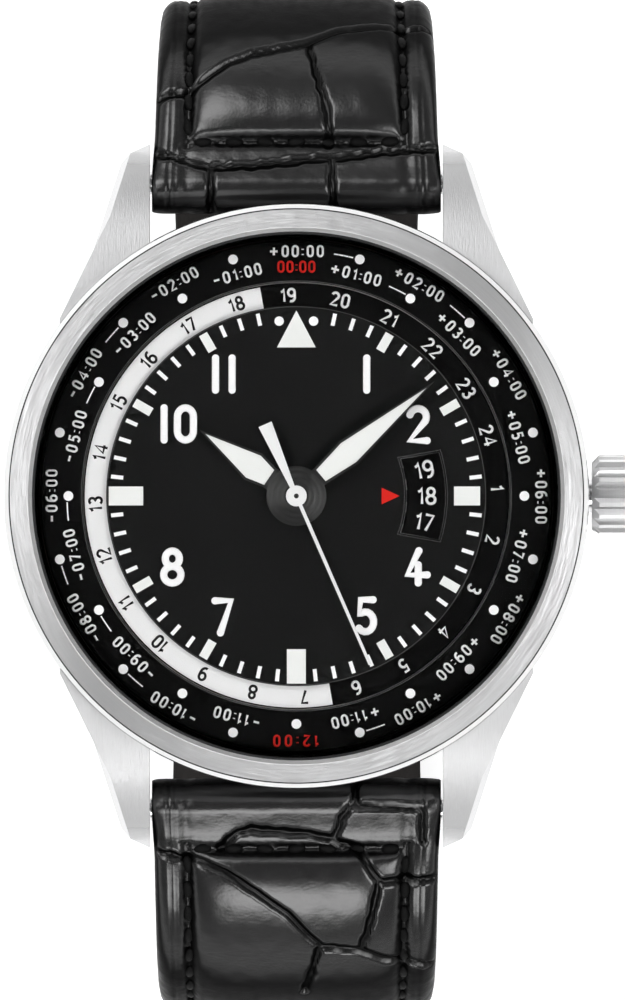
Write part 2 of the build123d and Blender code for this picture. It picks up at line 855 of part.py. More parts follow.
def make_crown():
    """Fluted crown, winding stem and winding pinion."""
    flutes = []
    pitch = 360 / crown_flutes
    for number in range(crown_flutes):
        flutes.append(polar(crown_r, (number - flute_crest_share) * pitch + crown_phase))
        flutes.append(polar(crown_r, (number + flute_crest_share) * pitch + crown_phase))
        flutes.append(polar(crown_r - flute_depth, (number + 1 / 2) * pitch + crown_phase))
    base = Pos(crown_x, 0, stem_z) * Rot(0, 90, 0)
    knob = base * raised(Polygon(*flutes, align=None), crown_len)
    blank = [
        (0, 0),
        (crown_r - crown_bevel, 0),
        (crown_r, crown_bevel),
        (crown_r, crown_len - crown_bevel),
        (crown_r - crown_bevel, crown_len),
        (0, crown_len),
    ]
    knob &= base * turned(blank)
    knob -= along_x(crown_bore_r, crown_x - cut_over, crown_bore_x, 0, stem_z)
    knob -= along_x(stem_r, crown_x - cut_over, stem_head_x, 0, stem_z)
    keep("crown", knob)

    pinion_end = winding_pinion_x + winding_pinion_w
    stem = along_x(stem_r, pinion_end + running_gap * 2, stem_head_x, 0, stem_z)
    flat_len = pinion_end + running_gap * 2 - stem_in_x
    stem += Pos(stem_in_x, 0, stem_z) * Box(
        flat_len, stem_square, stem_square, align=(Align.MIN, Align.CENTER, Align.CENTER)
    )
    keep("winding_stem", stem)
    teeth = tooth_ring(winding_pinion_teeth, winding_pinion_module, 0.0, (0.0, 0.0))
    pinion = Pos(winding_pinion_x, 0, stem_z) * Rot(0, 90, 0)
    body = pinion * raised(Polygon(*teeth, align=None), winding_pinion_w)
    bore = stem_square + running_gap * 2
    body -= Pos(winding_pinion_x - cut_over, 0, stem_z) * Box(
        winding_pinion_w + cut_over * 2,
        bore,
        bore,
        align=(Align.MIN, Align.CENTER, Align.CENTER),
    )
    keep("winding_pinion", body)


train_places = {
    "third": third_at,
    "great": great_at,
    "escape": escape_at,
    "pallet": pallet_at,
    "balance": balance_at,
}
foot_places = {
    "barrel": (polar(bridge_foot_at_r, -12.0), polar(bridge_foot_at_r, 74.0)),
    "train": (
        polar(bridge_foot_at_r, 112.0),
        polar(bridge_foot_at_r, 175.0),
        polar(bridge_foot_at_r, 238.0),
    ),
    "cock": ((cock_foot_x, cock_foot_y),),
}


def make_frame():
    """Main plate, bridges, balance cock, jewels, screws, clamps and holder ring."""
    plate = disc(plate_r, plate_low_z, plate_top_z)
    plate += ring(plate_r, plate_rim_in_r, plate_top_z, plate_rim_z)
    jewel_places = list(train_places.values())
    for x, y in jewel_places:
        plate -= disc(jewel_r, plate_low_z - cut_over, plate_low_z + jewel_h, x, y)
    plate -= disc(arbor_r + running_gap, plate_low_z - cut_over, plate_low_z + jewel_h, *barrel_at)
    plate -= disc(cannon_r + running_gap, plate_low_z - cut_over, plate_top_z + cut_over)
    recess_z = minute_wheel_z - running_gap
    cannon_pit = (cannon_teeth / 2 + 1) * motion_module + running_gap
    minute_pit = (minute_wheel_teeth / 2 + 1) * motion_module + running_gap
    plate -= disc(cannon_pit, recess_z, plate_top_z + cut_over)
    plate -= disc(minute_pit, recess_z, plate_top_z + cut_over, *minute_wheel_at)
    post_top = hour_wheel_z + hour_wheel_h
    plate += disc(post_r, plate_low_z + jewel_h, post_top, *minute_wheel_at)
    plate += disc(post_r, plate_top_z, calendar_low_z, *idler_at)
    pinion_room = along_x(
        (winding_pinion_teeth / 2 + 1) * winding_pinion_module + running_gap,
        winding_pinion_x - running_gap * 2,
        winding_pinion_x + winding_pinion_w + running_gap * 2,
        0,
        stem_z,
    )
    plate -= pinion_room
    for feet in foot_places.values():
        for x, y in feet:
            plate -= disc(screw_r, plate_low_z - cut_over, plate_low_z + jewel_h * 2, x, y)
    for bearing in dial_feet_angles:
        x, y = polar(dial_foot_at_r, bearing)
        plate -= disc(dial_foot_r, plate_top_z - jewel_h, plate_top_z + cut_over, x, y)
    keep("main_plate", plate)

    side = crown_wheel_r + running_gap * 2
    barrel_plan = [(x * bridge_r, y * bridge_r) for x, y in barrel_bridge_shares]
    train_plan = [(x * bridge_r, y * bridge_r) for x, y in train_bridge_shares]
    blank = disc(bridge_r, bridge_low_z, bridge_top_z)
    seat = bridge_top_z - bridge_foot_sink

    def feet(body, places):
        for x, y in places:
            body += disc(bridge_foot_r, seat, plate_low_z, x, y)
            body -= disc(screw_r, bridge_low_z - cut_over, plate_low_z + cut_over, x, y)
            body -= disc(screw_head_r, bridge_low_z - cut_over, bridge_low_z + screw_head_h, x, y)
        return body

    bridge = feet(blank & prism(barrel_plan, bridge_low_z, bridge_top_z), foot_places["barrel"])
    bridge -= disc(side, bridge_low_z - cut_over, bridge_top_z + cut_over, *crown_wheel_at)
    bridge -= disc(arbor_r + running_gap, bridge_low_z - cut_over, bridge_top_z + cut_over, *barrel_at)
    keep("barrel_bridge", bridge - pinion_room)

    bridge = feet(blank & prism(train_plan, bridge_low_z, bridge_top_z), foot_places["train"])
    for name in ("third", "great", "escape", "pallet"):
        x, y = train_places[name]
        bridge -= disc(jewel_r, bridge_top_z - jewel_h, bridge_top_z + cut_over, x, y)
    bridge -= disc(seconds_shaft_r + running_gap, bridge_low_z + jewel_h, bridge_top_z + cut_over)
    keep("train_bridge", bridge)

    cock_turn = bearing_of(balance_at, (cock_foot_x, cock_foot_y))
    cock_len = math.dist(balance_at, (cock_foot_x, cock_foot_y))
    strip = Pos(balance_at[0], balance_at[1], bridge_low_z) * Rot(0, 0, cock_turn)
    cock = strip * Box(
        cock_len, cock_w, bridge_top_z - bridge_low_z, align=(Align.MIN, Align.CENTER, Align.MIN)
    )
    cock += disc(cock_w / 2, bridge_low_z, bridge_top_z, *balance_at)
    cock += disc(cock_w / 2, bridge_low_z, bridge_top_z, cock_foot_x, cock_foot_y)
    cock &= blank
    cock = feet(cock, foot_places["cock"])
    cock -= disc(jewel_r, bridge_top_z - jewel_h, bridge_top_z + cut_over, *balance_at)
    keep("balance_cock", cock)

    jewels = []
    hole = pivot_r + running_gap
    for x, y in jewel_places:
        jewels.append(ring(jewel_r, hole, plate_low_z, plate_low_z + jewel_h, x, y))
        jewels.append(ring(jewel_r, hole, bridge_top_z - jewel_h, bridge_top_z, x, y))
    keep("jewels", *jewels)

    screws = []
    for places in foot_places.values():
        for x, y in places:
            head = disc(screw_head_r, bridge_low_z, bridge_low_z + screw_head_h, x, y)
            screws.append(head + disc(screw_r, bridge_low_z, plate_low_z + jewel_h, x, y))
    keep("bridge_screws", *screws)

    holder = ring(holder_r, plate_r, back_spigot_z, plate_rim_z)
    holder -= along_x(tube_r + running_gap, plate_r - cut_over, holder_r + cut_over, 0, stem_z)
    keep("movement_holder_ring", holder)
    clamps = []
    for bearing in (60.0, 180.0, 300.0):
        x, y = polar(plate_r - clamp_w, bearing)
        turn = Pos(x, y, plate_low_z - screw_head_h * 2) * Rot(0, 0, bearing)
        tab = turn * Box(
            clamp_len,
            clamp_w,
            screw_head_h,
            align=(Align.CENTER, Align.CENTER, Align.MIN),
        )
        tab &= disc(plate_r, plate_low_z - cut_over, plate_low_z)
        base = disc(screw_head_r, plate_low_z - screw_head_h, plate_low_z, x, y)
        clamps.append(tab + base)
    keep("casing_clamps", *clamps)


def make_rotor():
    """Winding rotor on its bearing."""
    plate = disc(rotor_r, rotor_low_z, rotor_low_z + rotor_h)
    plate += ring(rotor_r, rotor_rim_in_r, rotor_low_z, rotor_rim_z)
    half = Pos(0, -rotor_hub_r / 2, 0) * Box(
        rotor_r * 2 + cut_over,
        rotor_r * 2 + cut_over,
        rotor_rim_z * 2 + cut_over,
        align=(Align.CENTER, Align.MIN, Align.MIN),
    )
    plate -= half
    plate += disc(rotor_hub_r, rotor_low_z, rotor_hub_z)
    plate -= disc(bearing_r + running_gap, rotor_low_z - cut_over, rotor_hub_z + cut_over)
    keep("rotor", plate)
    bearing = disc(bearing_r, bearing_head_z, bridge_low_z)
    head = disc(bearing_head_r, bearing_head_z, bearing_head_z + bearing_head_h)
    keep("rotor_bearing", bearing + head)


def staff(at, low, high, radius=staff_r, pivot=pivot_r, jewelled=True):
    """Arbor between two heights, with a thinner pivot at each end."""
    shaft = disc(radius, low, high, *at)
    if jewelled:
        shaft += disc(pivot, low - jewel_h, high + jewel_h, *at)
    return shaft


def make_train():
    """Barrel, wheels and pinions of the going train."""
    low = bridge_top_z + running_gap
    high = plate_low_z - running_gap
    third = wheel(third_teeth, third_module, third_wheel_z, third_turn, third_at)
    lower = (seconds_wheel_z + wheel_h + running_gap, third_wheel_z)
    upper = (third_wheel_z, high)
    for bottom, top in (lower, upper):
        third += gear(third_pinion_teeth, centre_module, bottom, top, third_pinion_turn, third_at)
    keep("third_wheel", third + staff(third_at, low, high))

    great = wheel(great_teeth, centre_module, great_wheel_z, great_turn, great_at)
    great_top = third_wheel_z - running_gap * 2
    great += gear(
        great_pinion_teeth, barrel_module, great_wheel_z, great_top, great_turn, great_at
    )
    keep("great_wheel", great + staff(great_at, low, high))

    shaft_foot = bridge_low_z + jewel_h + running_gap
    seconds = wheel(seconds_teeth, seconds_module, seconds_wheel_z, seconds_turn, centre)
    seconds += disc(seconds_shaft_r, shaft_foot, seconds_hub_z)
    pinion_low = third_wheel_z - pinion_over
    pinion_top = third_wheel_z + wheel_h + pinion_over
    seconds += gear(
        seconds_pinion_teeth, third_module, pinion_low, pinion_top, seconds_turn, centre
    )
    keep("sweep_seconds_wheel", seconds)

    drive = wheel(centre_teeth, centre_module, centre_wheel_z, centre_turn, centre)
    drive += disc(centre_tube_r, centre_wheel_z, minute_hand_top_z)
    drive -= disc(centre_tube_in_r, centre_wheel_z - cut_over, minute_hand_top_z + cut_over)
    keep("centre_wheel", drive)

    drum = disc(drum_r, drum_low_z, drum_top_z, *barrel_at)
    drum += gear(
        barrel_teeth, barrel_module, barrel_teeth_z, barrel_teeth_z + wheel_h * 2, barrel_turn, barrel_at
    )
    drum -= disc(drum_r - drum_wall * 2, drum_low_z + drum_wall, drum_top_z - drum_wall, *barrel_at)
    drum -= disc(arbor_r + running_gap, drum_low_z - cut_over, drum_top_z + cut_over, *barrel_at)
    keep("barrel_drum", drum)
    inside_low = drum_low_z + drum_wall + running_gap
    inside_high = drum_top_z - drum_wall - running_gap
    keep(
        "mainspring",
        spiral_strip(
            spring_first_r, spring_turns, spring_pitch, spring_strip, inside_low, inside_high, barrel_at
        ),
    )
    arbor = disc(arbor_r, winding_layer_z, plate_low_z + jewel_h - running_gap, *barrel_at)
    keep("barrel_arbor", arbor + disc(arbor_core_r, inside_low, inside_high, *barrel_at))
    layer_top = winding_layer_z + winding_layer_h
    ratchet = gear(ratchet_teeth, winding_module, winding_layer_z, layer_top, ratchet_turn, barrel_at)
    keep("ratchet_wheel", ratchet - disc(arbor_r, bearing_head_z, layer_top + cut_over, *barrel_at))

    crown_wheel = gear(
        crown_wheel_teeth, winding_module, winding_layer_z, layer_top, crown_wheel_turn, crown_wheel_at
    )
    body_r = (crown_wheel_teeth / 2 - 1) * winding_module - running_gap
    crown_wheel += disc(body_r, winding_layer_z, crown_wheel_top_z - winding_layer_h, *crown_wheel_at)
    face_teeth = gear(
        crown_wheel_teeth,
        winding_module * body_r / (crown_wheel_r + winding_module),
        crown_wheel_top_z - winding_layer_h,
        crown_wheel_top_z,
        crown_wheel_turn,
        crown_wheel_at,
    )
    keep("crown_wheel", crown_wheel + face_teeth)


def make_escapement():
    """Escape wheel, pallet fork, balance and hairspring."""
    low = bridge_top_z + running_gap
    high = plate_low_z - running_gap
    pitch = 360 / escape_teeth
    root = escape_r * rim_share
    teeth = []
    for number in range(escape_teeth):
        teeth.append(polar(root, number * pitch))
        teeth.append(polar(escape_r, number * pitch))
        teeth.append(polar(escape_r, (number + tip_half_share) * pitch))
        teeth.append(polar(root, (number + escape_back_share) * pitch))
    points = [(escape_at[0] + x, escape_at[1] + y) for x, y in teeth]
    escape = prism(points, escape_wheel_z, escape_wheel_z + pallet_h)
    for number in range(5):
        x, y = polar(escape_r * wheel_hole_share, number * 360 / 5)
        escape -= disc(
            escape_r * wheel_hole_size_share,
            escape_wheel_z - cut_over,
            escape_wheel_z + cut_over,
            escape_at[0] + x,
            escape_at[1] + y,
        )
    pinion_top = seconds_wheel_z + wheel_h + pinion_over
    escape += gear(
        escape_pinion_teeth, seconds_module, low, pinion_top, escape_turn, escape_at
    )
    escape += staff(escape_at, low, high, pivot_r, pivot_r)
    keep("escape_wheel", escape)

    place = Pos(pallet_at[0], pallet_at[1], escape_wheel_z) * Rot(0, 0, escape_to_balance)
    arm_x = pallet_reach - math.sqrt((escape_r + pallet_w) ** 2 - pallet_arm**2)
    lever = [
        (-arm_x, pallet_arm + pallet_w / 2),
        (-arm_x + pallet_w, pallet_arm + pallet_w / 2),
        (pallet_w, pallet_w / 2),
        (pallet_lever, pallet_w / 2),
        (pallet_lever, -pallet_w / 2),
        (pallet_w, -pallet_w / 2),
        (-arm_x + pallet_w, -pallet_arm - pallet_w / 2),
        (-arm_x, -pallet_arm - pallet_w / 2),
        (-pallet_w, 0),
    ]
    fork = place * raised(Polygon(*lever, align=None), pallet_h)
    keep("pallet_fork", fork + staff(pallet_at, low, high, staff_r, pivot_r))

    top = balance_low_z + balance_h
    rim = ring(balance_r, balance_r - balance_rim_w, balance_low_z, top, *balance_at)
    for turn in (0.0, 90.0):
        arm = Pos(balance_at[0], balance_at[1], balance_low_z) * Rot(0, 0, turn)
        rim += arm * Box(
            balance_r * 2 - balance_rim_w,
            balance_arm_w,
            balance_h / 2,
            align=(Align.CENTER, Align.CENTER, Align.MIN),
        )
    rim += disc(roller_r, balance_low_z - roller_h, balance_low_z, *balance_at)
    keep("balance_wheel", rim + staff(balance_at, low, high, balance_staff_r, balance_staff_r))
    spring = spiral_strip(
        hairspring_first_r,
        hairspring_turns,
        hairspring_pitch,
        hairspring_strip,
        hairspring_z,
        hairspring_z + hairspring_h,
        balance_at,
    )
    collet_r = hairspring_first_r + hairspring_strip / 2
    collet_top = hairspring_z + hairspring_h
    collet = ring(collet_r, balance_staff_r, hairspring_z, collet_top, *balance_at)
    keep("hairspring", spring + collet)


def make_motion_work():
    """Cannon pinion, minute and hour wheels, 24-hour idler and ring, and the date drive."""
    recess_top = plate_top_z - running_gap
    cannon = disc(cannon_r, minute_wheel_z, minute_hand_low_z)
    cannon += gear(cannon_teeth, motion_module, minute_wheel_z, recess_top, 0.0)
    keep("cannon_pinion", cannon - disc(centre_tube_r, minute_wheel_z - cut_over, minute_hand_top_z))

    minute = gear(
        minute_wheel_teeth,
        motion_module,
        minute_wheel_z,
        minute_wheel_z + wheel_h,
        minute_turn,
        minute_wheel_at,
    )
    minute += gear(
        minute_pinion_teeth,
        hour_module,
        minute_wheel_z,
        hour_wheel_z + hour_wheel_h,
        0.0,
        minute_wheel_at,
    )
    bore = post_r + running_gap
    keep("minute_wheel", minute - disc(bore, plate_low_z, calendar_low_z, *minute_wheel_at))

    hour = gear(
        hour_wheel_teeth, hour_module, hour_wheel_z, hour_wheel_z + hour_wheel_h, hour_turn
    )
    hour += disc(calendar_hole_r - running_gap * 2, hour_wheel_z, ring_drive_z)
    hour += wheel(ring_drive_teeth, ring_module, ring_drive_z, 0.0, centre)
    hour += disc(hour_pipe_r, hour_wheel_z, hour_hand_top_z)
    hour += gear(date_pinion_teeth, date_module, ring_drive_z, date_ring_top_z, 0.0)
    keep("hour_wheel", hour - disc(hour_pipe_in_r, plate_low_z, hour_hand_top_z + cut_over))

    idler = wheel(idler_teeth, ring_module, ring_drive_z, idler_turn, idler_at)
    keep("idler_24h", idler - disc(bore, plate_low_z, calendar_low_z, *idler_at))

    skirt_low = hour_wheel_z
    band = ring(ring24_r, ring24_in_r, ring24_low_z, ring24_top_z)
    toothed = disc(ring24_skirt_r, skirt_low, ring24_low_z)
    hole = tooth_ring(ring_teeth, ring_module, ring24_turn, centre, inner=True)
    toothed -= prism(hole, skirt_low - cut_over, ring24_low_z + cut_over)
    keep("hour_ring_24", band + toothed)

    driver = gear(
        date_wheel_teeth, date_module, date_ring_low_z, date_ring_top_z, date_turn, date_at
    )
    finger = Pos(date_at[0], date_at[1], date_ring_low_z) * Rot(0, 0, date_bearing)
    driver += finger * Box(
        date_finger_r,
        date_finger_w,
        date_ring_top_z - date_ring_low_z,
        align=(Align.MIN, Align.CENTER, Align.MIN),
    )
    keep("date_driving_wheel", driver - disc(bore, calendar_low_z, dial_low_z, *date_at))

    pitch = 360 / date_ring_teeth
    hole = []
    for number in range(date_ring_teeth):
        hole.append(polar(date_tooth_r + date_tooth_depth, (number - root_half_share) * pitch))
        hole.append(polar(date_tooth_r, (number - tip_half_share) * pitch))
        hole.append(polar(date_tooth_r, (number + tip_half_share) * pitch))
        hole.append(polar(date_tooth_r + date_tooth_depth, (number + root_half_share) * pitch))
    dates = disc(date_ring_r, date_ring_low_z, date_ring_top_z)
    keep("date_ring", dates - prism(hole, date_ring_low_z - cut_over, date_ring_top_z + cut_over))

    plate = ring(calendar_r, calendar_hole_r, calendar_low_z, calendar_top_z)
    for bearing in (20.0, 110.0, 290.0):
        x, y = polar(calendar_foot_at_r, bearing)
        plate += disc(calendar_foot_r, plate_top_z, calendar_low_z, x, y)
    plate += disc(post_r, calendar_top_z, date_ring_top_z, *date_at)
    for bearing in dial_feet_angles:
        x, y = polar(dial_foot_at_r, bearing)
        plate -= disc(dial_foot_r, calendar_low_z - cut_over, calendar_top_z + cut_over, x, y)
    keep("calendar_plate", plate)


def sector_hole():
    """Curved date window at 3 o'clock, its ends sloped."""
    corners = (
        polar(window_in_r, window_in_half),
        polar(window_out_r, window_out_half),
        polar(window_out_r, -window_out_half),
        polar(window_in_r, -window_in_half),
    )
    edges = [
        Line(corners[0], corners[1]),
        ThreePointArc(corners[1], (window_out_r, 0), corners[2]),
        Line(corners[2], corners[3]),
        ThreePointArc(corners[3], (window_in_r, 0), corners[0]),
    ]
    face = make_face(Curve() + edges)
    return raised(Pos(0, 0, dial_low_z - cut_over) * face, cut_over * 3)


def make_dial():
    """Dial with its feet and hour blocks, and the outer zone ring."""
    dial = disc(dial_r, dial_low_z, dial_top_z)
    dial -= disc(dial_hole_r, dial_low_z - cut_over, dial_top_z + cut_over)
    dial -= sector_hole()
    for bearing in dial_feet_angles:
        x, y = polar(dial_foot_at_r, bearing)
        dial += disc(dial_foot_r, plate_top_z - jewel_h, dial_low_z, x, y)
    keep("dial", dial)
    keep("city_ring", ring(city_out_r, city_in_r, case_ledge_z, dial_top_z))

    blocks = []
    top = dial_top_z + marker_h
    for hour in range(12):
        bearing = 90 - hour * 30
        place = Rot(0, 0, bearing)
        if hour == 0:
            points = [
                (triangle_tip_r, 0),
                (triangle_base_r, triangle_half),
                (triangle_base_r, -triangle_half),
            ]
            blocks.append(place * prism(points, dial_top_z, top))
            continue
        length, width, outer = block_len, block_w, block_at_r + block_len / 2
        if hour == 3:
            length, width, outer = three_block_len, long_block_w, three_block_out_r
        elif hour in (6, 9):
            length, width, outer = long_block_len, long_block_w, long_block_out_r
        block = Pos(outer - length, 0, dial_top_z) * Box(
            length, width, marker_h, align=(Align.MIN, Align.CENTER, Align.MIN)
        )
        blocks.append(place * block)
    keep("hour_markers", *blocks)


def hand(start, start_w, wide, wide_w, tip, frame_tip, low, high, angle):
    """Framed hand and its luminous filling, turned clockwise from 12 o'clock."""
    lume = [
        (-start_w / 2, start),
        (-wide_w / 2, wide),
        (0, tip),
        (wide_w / 2, wide),
        (start_w / 2, start),
    ]
    edge = hand_frame_w
    frame = [
        (-start_w / 2 - edge, 0),
        (-start_w / 2 - edge, start),
        (-wide_w / 2 - edge, wide),
        (0, frame_tip),
        (wide_w / 2 + edge, wide),
        (start_w / 2 + edge, start),
        (start_w / 2 + edge, 0),
    ]
    turn = Rot(0, 0, -angle)
    inlay = prism(lume, low + lume_sink, high - lume_sink)
    body = prism(frame, low, high) - prism(lume, low + lume_sink, high + cut_over)
    return turn * body, turn * inlay


def make_hands():
    """Hour, minute and sweep seconds hands."""
    body, inlay = hand(
        hour_lume_start,
        hour_lume_start_w,
        hour_lume_wide,
        hour_lume_w,
        hour_lume_tip,
        hour_tip,
        hour_hand_low_z,
        hour_hand_top_z,
        hour_angle,
    )
    body += disc(hour_hub_r, hour_hand_low_z, hour_hand_top_z)
    body -= disc(hour_pipe_r, hour_hand_low_z - cut_over, hour_hand_top_z + cut_over)
    keep("hour_hand", body)
    keep("hour_hand_lume", inlay)
    body, inlay = hand(
        minute_lume_start,
        minute_lume_start_w,
        minute_lume_wide,
        minute_lume_w,
        minute_lume_tip,
        minute_tip,
        minute_hand_low_z,
        minute_hand_top_z,
        minute_angle,
    )
    body += disc(minute_collar_r, minute_hand_low_z, minute_hand_top_z)
    body += disc(minute_hub_r, minute_hand_low_z, minute_hand_top_z + minute_boss_h)
    body -= disc(centre_tube_r, minute_hand_low_z - cut_over, minute_hand_top_z + cut_over)
    keep("minute_hand", body)
    keep("minute_hand_lume", inlay)
    half, tail = seconds_w / 2, seconds_tail_w / 2
    needle = [
        (-tail, -seconds_tail),
        (-half, 0),
        (-half * rim_share, seconds_tip),
        (half * rim_share, seconds_tip),
        (half, 0),
        (tail, -seconds_tail),
    ]
    body = Rot(0, 0, -seconds_angle) * prism(needle, seconds_hand_low_z, seconds_hand_top_z)
    body += disc(seconds_hub_r, seconds_hand_low_z, seconds_hub_z)
    body -= disc(seconds_shaft_r, seconds_hand_low_z - cut_over, seconds_hub_z + cut_over)
    keep("seconds_hand", body)


def strap_path(lead, roll_r, drop, flat):
    """Stations (outward, height, heading) of a strap half, from its spring bar to its end.

    The heading is in degrees from straight outward, downward positive.
    """
    out, up, heading = spring_bar_y, spring_bar_z, strap_lead_turn
    stations = [(out, up, heading, 0.0)]
    length = 0.0

    def straight(distance, steps=1):
        nonlocal out, up, length
        for _ in range(steps):
            step = distance / steps
            out += step * math.cos(math.radians(heading))
            up -= step * math.sin(math.radians(heading))
            length += step
            stations.append((out, up, heading, length))

    def bend(radius, turn):
        nonlocal out, up, heading, length
        steps = math.ceil(turn / section_turn)
        step = turn / steps
        for _ in range(steps):
            chord = 2 * radius * math.sin(math.radians(step / 2))
            half = math.radians(heading + step / 2)
            out += chord * math.cos(half)
            up -= chord * math.sin(half)
            heading += step
            length += radius * math.radians(step)
            stations.append((out, up, heading, length))

    straight(lead)
    bend(roll_r, 90 - strap_lead_turn)
    straight(drop)
    bend(wrist_r, wrist_turn)
    bend(heel_r, heel_turn)
    straight(flat, 2)
    return stations


def strap_layers(stations, side):
    """Outer padded layer and lining of one strap half, on the +Y or -Y side."""
    total = stations[-1][3]
    outer, inner = [], []
    for out, up, heading, length in stations:
        share = length / total
        width = strap_w + (strap_end_w - strap_w) * share
        thick = strap_thick + (strap_end_thick - strap_thick) * min(1.0, share / padded_share)
        turn = math.radians(heading)
        face = Plane(
            origin=(0, side * out, up),
            x_dir=(-side, 0, 0),
            z_dir=(0, side * math.cos(turn), -math.sin(turn)),
        )
        floor = -thick / 2 + lining_thick
        shoulder = floor + (thick / 2 - floor) * rim_share
        half, crest = width / 2, width * shoulder_share
        outer.append(
            face
            * Polygon(
                (-half, floor),
                (half, floor),
                (half, shoulder),
                (crest, thick / 2),
                (-crest, thick / 2),
                (-half, shoulder),
                align=None,
            )
        )
        if length >= lining_start:
            inner.append(
                face
                * Polygon(
                    (-half, -thick / 2), (half, -thick / 2), (half, floor), (-half, floor), align=None
                )
            )
    return loft(outer, ruled=True), loft(inner, ruled=True)


def make_straps():
    """Both strap halves, the keepers and the buckle."""
    upper_way = strap_path(upper_lead, upper_roll_r, upper_drop, upper_flat)
    lower_way = strap_path(lower_lead, lower_roll_r, lower_drop, lower_flat)
    half = strap_w / 2
    for name, way, side in (("12", upper_way, 1), ("6", lower_way, -1)):
        outer, lining = strap_layers(way, side)
        roll_at = (side * spring_bar_y, spring_bar_z)
        outer += along_x(strap_end_r, -half, half, *roll_at)
        outer -= along_x(strap_bore_r, -half - cut_over, half + cut_over, *roll_at)
        out, up, _, _ = way[-1]
        if side > 0:
            bar_y, bar_z = out - buckle_bar_gap, up
            end = strap_end_w / 2
            outer += along_x(buckle_wrap_r, -end, end, bar_y, bar_z)
            eye = along_x(buckle_bar_r, -end - cut_over, end + cut_over, bar_y, bar_z)
            slot = Pos(0, bar_y, bar_z) * Box(
                buckle_slot_w,
                buckle_wrap_r * 2 + buckle_bar_gap * 2,
                buckle_wrap_r * 2 + cut_over,
            )
            outer = outer - eye - slot
            lining = lining - slot - along_x(buckle_wrap_r, -end - cut_over, end + cut_over, bar_y, bar_z)
        else:
            tip_y = -out
            for number in range(holes):
                y = tip_y - hole_first - number * hole_pitch
                cut = disc(hole_r, up - strap_thick, up + strap_thick, 0, y)
                outer -= cut
                lining -= cut
            bevel = strap_end_w * tip_bevel_share
            for sign in (1, -1):
                corner = [
                    (sign * (half + cut_over), tip_y - bevel),
                    (sign * strap_end_w / 2, tip_y - bevel),
                    (sign * (strap_end_w / 2 - bevel), tip_y),
                    (sign * (strap_end_w / 2 - bevel), tip_y + cut_over),
                    (sign * (half + cut_over), tip_y + cut_over),
                ]
                wedge = prism(corner, up - strap_thick, up + strap_thick)
                outer -= wedge
                lining -= wedge
        keep(f"strap_{name}_outer", outer)
        keep(f"strap_{name}_lining", lining)
    make_buckle(bar_y_of(upper_way), upper_way[-1][1], upper_way)


def bar_y_of(way):
    """Place of the buckle bar along the short strap half."""
    return way[-1][0] - buckle_bar_gap


def width_at(way, y):
    """Strap width at a place in the flat run of the short half."""
    total = way[-1][3]
    length = total - (y - way[-1][0])
    return strap_w + (strap_end_w - strap_w) * length / total


def make_buckle(bar_y, bar_z, way):
    """Keepers, buckle frame, bar and tongue."""
    for name, reach in (("fixed_keeper", fixed_keeper_reach), ("free_keeper", free_keeper_reach)):
        y = bar_y + reach
        inner_w = width_at(way, y + keeper_len / 2) + soft_gap * 2
        top = bar_z + strap_end_thick / 2 + soft_gap
        bottom = bar_z - strap_end_thick / 2 - soft_gap - keeper_room
        tall = top - bottom
        middle = Pos(0, y, (top + bottom) / 2)
        loop = middle * Box(inner_w + keeper_wall * 2, keeper_len, tall + keeper_wall * 2)
        loop = fillet(loop.edges().filter_by(Axis.Y), keeper_wall * rim_share)
        loop -= middle * Box(inner_w, keeper_len + cut_over, tall)
        keep(name, loop)

    rod = buckle_rod / 2
    half = buckle_w / 2
    near_y = bar_y + buckle_bar_r + rod * rim_share
    far_y = near_y - buckle_len
    frame = Pos(0, (near_y + far_y) / 2, bar_z) * Box(buckle_w, buckle_len, buckle_rod)
    frame = fillet(frame.edges().filter_by(Axis.Z), rod)
    room_far = far_y + buckle_rod
    window_len = near_y - room_far + cut_over
    frame -= Pos(0, room_far + window_len / 2, bar_z) * Box(
        buckle_w - buckle_rod * 2, window_len, buckle_rod + cut_over
    )
    frame = chamfer(frame.edges().group_by(Axis.Z)[-1], buckle_bevel)
    frame -= along_x(buckle_bar_r, -half - cut_over, half + cut_over, bar_y, bar_z)
    keep("buckle_frame", frame)
    bar_half = half - rod
    keep("buckle_bar", along_x(buckle_bar_r - running_gap, -bar_half, bar_half, bar_y, bar_z))

    eye_r = buckle_bar_r + tongue_h
    tongue_x = tongue_w / 2
    tongue = along_x(eye_r, -tongue_x, tongue_x, bar_y, bar_z)
    rest_z = bar_z - rod - tongue_h / 2 - running_gap * 2
    tip_y = far_y + rod
    pad = Pos(0, (bar_y + tip_y) / 2, rest_z) * Box(tongue_w, bar_y - tip_y, tongue_h)
    tongue += pad
    tongue -= along_x(buckle_bar_r, -tongue_w, tongue_w, bar_y, bar_z)
    keep("buckle_tongue", tongue)


make_case()
make_bezel()
make_crown()
make_frame()
make_rotor()
make_train()
make_escapement()
make_motion_work()
make_dial()
make_hands()
make_straps()

os.makedirs("parts", exist_ok=True)
for node, shape in made.items():
    export_step(shape, f"parts/{node}.step")
print(len(made), "nodes")
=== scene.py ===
"""World time watch on an open leather strap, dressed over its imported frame.

The scene is in metres, dial up, 12 o'clock towards +Y. Pieces are built in millimetres, and
finish_piece scales them.
"""

import logging
import math
from collections.abc import Callable
from dataclasses import dataclass, field
from enum import Enum

import bmesh
import bpy
from mathutils import Matrix, Vector, noise


